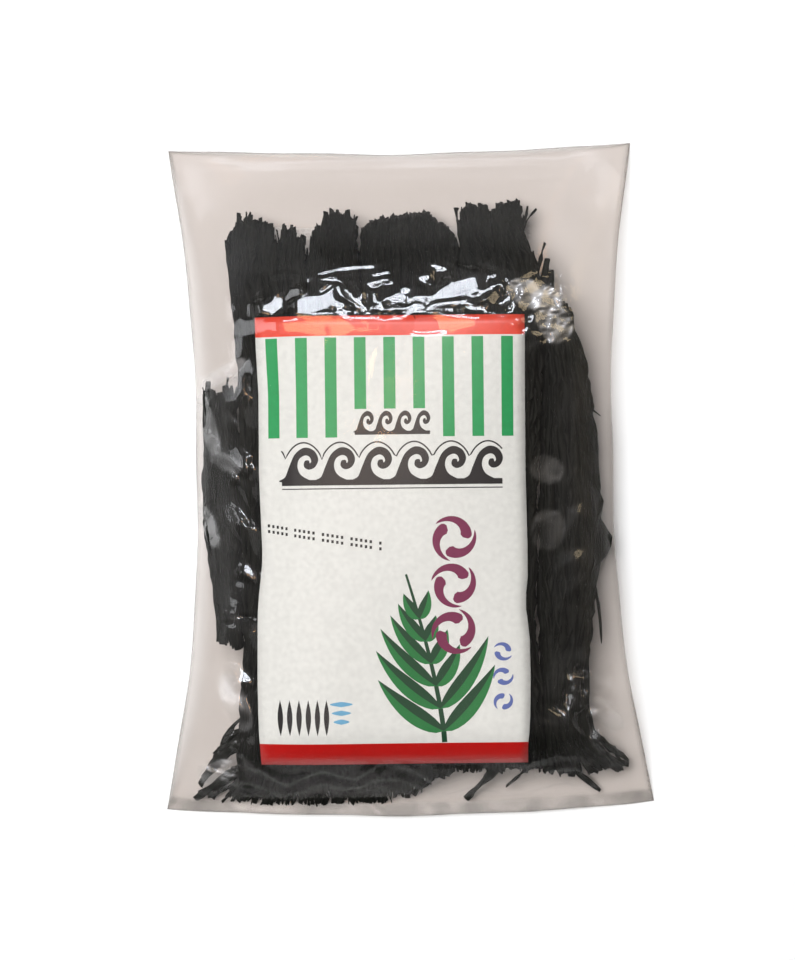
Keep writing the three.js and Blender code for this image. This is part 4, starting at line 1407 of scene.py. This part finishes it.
# %% [markdown]
# Then each shape is set out on the sheet and given its ink. Positions are in millimetres from the middle of
# the label. The stripes hang from the top band, the middle three shorter, and the waves run below them.

# %% Stripes and waves
STRIPES = 9
SHORT_STRIPES = (3, 4, 5)
STRIPE_PITCH = 8.75
STRIPE_HALF = 1.75
STRIPE_START_X = -35.3
STRIPE_TOP = LABEL_LENGTH / 2 - 6.5
STRIPE_LONG = 29.8
STRIPE_SHORT = 21.4
# Start, base, height, pitch, how many, and whether a thin line echoes the crests.
SCROLLS = [(-10.8, 32, 6.6, 5.6, 4, False), (-33, 17.4, 10.6, 11, 6, True)]


def stripes():
    shapes = []
    for n in range(STRIPES):
        x = STRIPE_START_X + n * STRIPE_PITCH
        low = STRIPE_TOP - (STRIPE_SHORT if n in SHORT_STRIPES else STRIPE_LONG)
        shapes.append(("green", block(x - STRIPE_HALF, low, x + STRIPE_HALF, STRIPE_TOP)))
    return shapes


def scroll(start, base, height, pitch, count, echo):
    """A row of running waves on a base band, and, if echo is set, a thin line that echoes their crests."""
    shapes = []
    for n in range(count):
        wave = [(start + (n + x) * pitch, base + y * height) for x, y in WAVE]
        shapes.append(("black", smooth(wave)))
    width = count * pitch
    shapes.append(("black", block(start, base - 0.09 * height, start + width, base + 0.07 * height)))
    if echo:
        t = np.linspace(0, count, 18 * count)
        rise = np.abs(np.sin(math.pi * (t - 0.12))) ** 0.6
        line = np.stack([start + t * pitch, base + height * (0.62 + 0.5 * rise)], -1)
        shapes.append(("black", stroke(line, 0.45 + 0 * t)))
        shapes.append(("black", block(start, base - 0.2 * height, start + width, base - 0.17 * height)))
    return shapes


print("outlines in stripes and waves:", len(stripes()) + sum(len(scroll(*row)) for row in SCROLLS))

# %% [markdown]
# The sprig is one curved stem with paired leaves that get shorter towards its tip, each lit on one half.
# Rings of comma-shaped swirls climb beside it, large plum ones and small blue ones. The left side has plain
# ornaments: two rows of dots in groups, and lozenges near the foot.

# %% Sprig, swirls and ornaments
STEM_FOOT = (15, -60.2)
STEM_REACH = (-11, 50)
LEAF_LENGTHS = (25, 26, 24, 19, 14, 9)
# Ink, commas in a ring, the rings' x and y, radius, sweep in half turns, thickness, and turn ring by ring.
SWIRLS = [
    ("plum", 3, 18.2, (0.4, -13.4, -27.4), 7.2, 0.78, 0.5, 0.5),
    ("blue", 2, 32.2, (-33.4, -40.8, -48.2), 2.9, 0.85, 0.6, 0.7),
]
DOTS_START = (-37.6, 4.6)
DOTS_PITCH = (1.42, 1.7)
DOTS_FALL = 0.16
DOT_HALF = (0.36, 0.45)


def sprig():
    t = np.linspace(0, 1, 16)
    stem = np.stack([STEM_FOOT[0] + STEM_REACH[0] * t**1.4, STEM_FOOT[1] + STEM_REACH[1] * t], -1)
    shapes = [("leaf_dark", stroke(stem, 1.6 - 0.9 * t))]
    for k, length in enumerate(LEAF_LENGTHS):
        root = stem[1 + 2 * k]
        for way in (-1, 1):
            reach = length * (0.6 if way > 0 and k in (2, 3, 4) else 1)
            angle = math.pi / 2 + 0.12 - way * (1.05 - 0.07 * k)
            upper, lower = leaf(root, angle, reach, 5.6 - 0.4 * k, way * 0.5)
            lit, shaded = ("leaf_light", "leaf_dark") if way < 0 else ("leaf_dark", "leaf_light")
            shapes += [(lit, upper), (shaded, lower)]
    return shapes


def swirls():
    shapes = []
    for ink, count, x, ys, radius, sweep, thick, turn in SWIRLS:
        for ring, y in enumerate(ys):
            starts = [2 * math.pi * k / count + turn * ring for k in range(count)]
            shapes += [(ink, comma((x, y), radius, start, math.pi * sweep, thick)) for start in starts]
    return shapes


def ornaments():
    shapes = [("black", lozenge(-33.5 + 2.7 * n, -52.6, 0.8, 5.4)) for n in range(6)]
    shapes += [("sky_blue", lozenge(-15.6, -48.6 - 2.6 * n, 3.4 - 0.5 * n, 0.8)) for n in range(3)]
    half_wide, half_high = DOT_HALF
    for column in (n for n in range(25) if n % 6 != 5):
        x = DOTS_START[0] + DOTS_PITCH[0] * column
        for row in range(2):
            y = DOTS_START[1] - DOTS_FALL * (x - DOTS_START[0]) - DOTS_PITCH[1] * row
            shapes.append(("black", block(x - half_wide, y - half_high, x + half_wide, y + half_high)))
    return shapes


print("outlines in sprig, swirls and ornaments:", len(sprig() + swirls() + ornaments()))

# %% [markdown]
# The red bands close the sheet off at both ends. Where shapes overlap, the later one in the list is seen.

# %% The whole print
TOP_BAND = 6
BOTTOM_BAND = 6.6


def print_shapes():
    """Pairs of ink and outline, laid over the white sheet."""
    top, side = LABEL_LENGTH / 2, LABEL_WIDTH / 2
    shapes = [("vermilion", block(-side, top - TOP_BAND, side, top))]
    shapes += [("red", block(-side, -top, side, BOTTOM_BAND - top))] + stripes()
    for row in SCROLLS:
        shapes += scroll(*row)
    return shapes + sprig() + swirls() + ornaments()


print("printed outlines:", len(print_shapes()))

# %% [markdown]
# ## Paper and inks
# The paper is clay-coated label stock, so it is smooth, with a soft gloss. The inks are offset-printed:
# thin, even, and a little glossier than the paper. Fine mottle keeps large areas from looking flat.

# %% Materials for paper and inks
def printed(name, hex_colour, roughness):
    material, tree, output = new_material(name)
    shade = add(tree, "ShaderNodeValToRGB", {0: grain(tree, (1.6, 1.6, 1.6), 5.0)})
    thin, full = shade.color_ramp.elements
    thin.position, full.position = 0.3, 0.65
    thin.color = tuple(c * 0.9 for c in linear(hex_colour)[:3]) + (1.0,)
    full.color = linear(hex_colour)
    fibres = {"Height": grain(tree, (0.35, 0.35, 0.35)), "Strength": 0.12, "Distance": 0.05 * MM}
    sheet = add(
        tree, "ShaderNodeBsdfPrincipled",
        {"Base Color": shade.outputs[0], "Roughness": roughness, "IOR": 1.5,
         "Normal": add(tree, "ShaderNodeBump", fibres).outputs[0]},
    )
    tree.links.new(sheet.outputs[0], output.inputs["Surface"])
    return material


INK_COLOURS = {
    "vermilion": "#F0472F",
    "red": "#CC0E0A",
    "green": "#0EA058",
    "black": "#171518",
    "plum": "#7B2250",
    "blue": "#5F72B8",
    "leaf_dark": "#0A4429",
    "leaf_light": "#1C7C3E",
    "sky_blue": "#6FB4DC",
}
INKS = {"paper": printed("label_paper_clay_coated", "#EEF2F0", 0.5)}
INKS |= {ink: printed("offset_ink_" + ink, colour, 0.4) for ink, colour in INK_COLOURS.items()}
print("paper and inks:", ", ".join(INKS))

# %% [markdown]
# ## The label itself
# The outlines, a grid of points that lets the sheet bend, and the sheet's own border go into one Delaunay
# triangulation. It tells for each triangle which outlines it lies in, and the last one wins, as the last
# ink printed does.

# %% Cut the label
BEND_GRID = 3.2


def counterclockwise(outline):
    """The outline in the order that the triangulation takes as enclosing its inside."""
    x, y = np.array(outline).T
    area = np.sum(x * np.roll(y, -1) - y * np.roll(x, -1))
    return outline if area > 0 else outline[::-1]


def cut_label():
    """The flat sheet's points and triangles, and the ink of each triangle."""
    shapes = print_shapes()
    side, top = LABEL_WIDTH / 2, LABEL_LENGTH / 2
    corners = np.array([(-side, -top), (side, -top), (side, top), (-side, top), (-side, -top)])
    shares = np.linspace(0, 1, 30)[:-1, None]
    border = np.concatenate([a + (b - a) * shares for a, b in zip(corners[:-1], corners[1:])])
    outlines = [border] + [counterclockwise(outline) for _, outline in shapes]
    inks = ["paper"] + [ink for ink, _ in shapes]
    points, loops = [], []
    for outline in outlines:
        loops.append(list(range(len(points), len(points) + len(outline))))
        points += [Vector(p) for p in outline]
    for x in np.arange(-side + BEND_GRID, side - 0.5, BEND_GRID):
        points += [Vector((x, y)) for y in np.arange(-top + BEND_GRID, top - 0.5, BEND_GRID)]
    flat, _, triangles, _, _, inside = delaunay_2d_cdt(points, [], loops, 1, 1e-5)
    names = list(INKS)
    return flat, triangles, [names.index(inks[max(lying)]) for lying in inside]


flat_label, label_triangles, label_inks = cut_label()
print("triangles in the flat sheet:", len(label_triangles))

# %% [markdown]
# The flat sheet is laid a little below the front film and follows its bend. Its long edges wander by about
# a millimetre, as in the photograph, and a second layer of the same triangles gives it its thickness.

# %% Lay the label under the film
LABEL_TURN = math.radians(-0.4)
LABEL_THICK = 0.25
LABEL_GAP = 0.65
# How far the two long edges move to the right: y on the sheet, left edge, right edge.
EDGE_WANDER = [(-67, 0.1, 0), (-61, -0.1, -0.2), (-56, -0.4, 0.4), (-42, -0.65, 0.8), (-28, -0.5, 0.65),
               (-22, -0.45, -0.35), (-17, -0.1, -0.4), (-12, 0.5, 0.25), (-5, 1.2, 0.35), (8, 0.7, 0.2),
               (20, 0.3, 0), (44, 0.4, 0.1), (58, -0.3, 0.2), (67, -0.5, 0.2)]


def label_height(x, y):
    """The label's upper face, a little below the film, with a slight cockle of its own."""
    cockle = 0.12 * np.sin(x / 9 + 0.8) * np.sin(y / 12) + 0.06 * np.sin(x / 5 + y / 16)
    return front_height(x, y) - LABEL_GAP + cockle


def lay_label(flat, triangles, ink_of):
    plan = np.array([tuple(p) for p in flat])
    heights, left, right = zip(*EDGE_WANDER)
    across = plan[:, 0] / LABEL_WIDTH * 2
    for side, offsets in ((-across, left), (across, right)):
        plan[:, 0] += np.interp(plan[:, 1], heights, offsets) * smoothstep(side, 0.6, 1)
    cos, sin = math.cos(LABEL_TURN), math.sin(LABEL_TURN)
    x = plan[:, 0] * cos - plan[:, 1] * sin + LABEL_CENTRE[0]
    y = plan[:, 0] * sin + plan[:, 1] * cos + LABEL_CENTRE[1]
    upper = np.stack([x, y, label_height(x, y)], -1)
    count = len(upper)
    faces = [list(t) for t in triangles] + [[i + count for i in t[::-1]] for t in triangles]
    edges = {(a, b) for t in triangles for a, b in zip(t, (*t[1:], t[0]))}
    faces += [[b, a, a + count, b + count] for a, b in edges if (b, a) not in edges]
    points = np.concatenate([upper, upper - (0, 0, LABEL_THICK)])
    piece = make_object("label_printed", points, faces, INKS.values(), smooth=False)
    for index, ink in enumerate(ink_of):
        piece.data.polygons[index].material_index = ink
    for polygon in piece.data.polygons[: 2 * len(triangles)]:
        polygon.use_smooth = True
    return piece


label = lay_label(flat_label, label_triangles, label_inks)
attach(label, "root")
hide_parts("label")
print("label faces:", len(label.data.polygons))
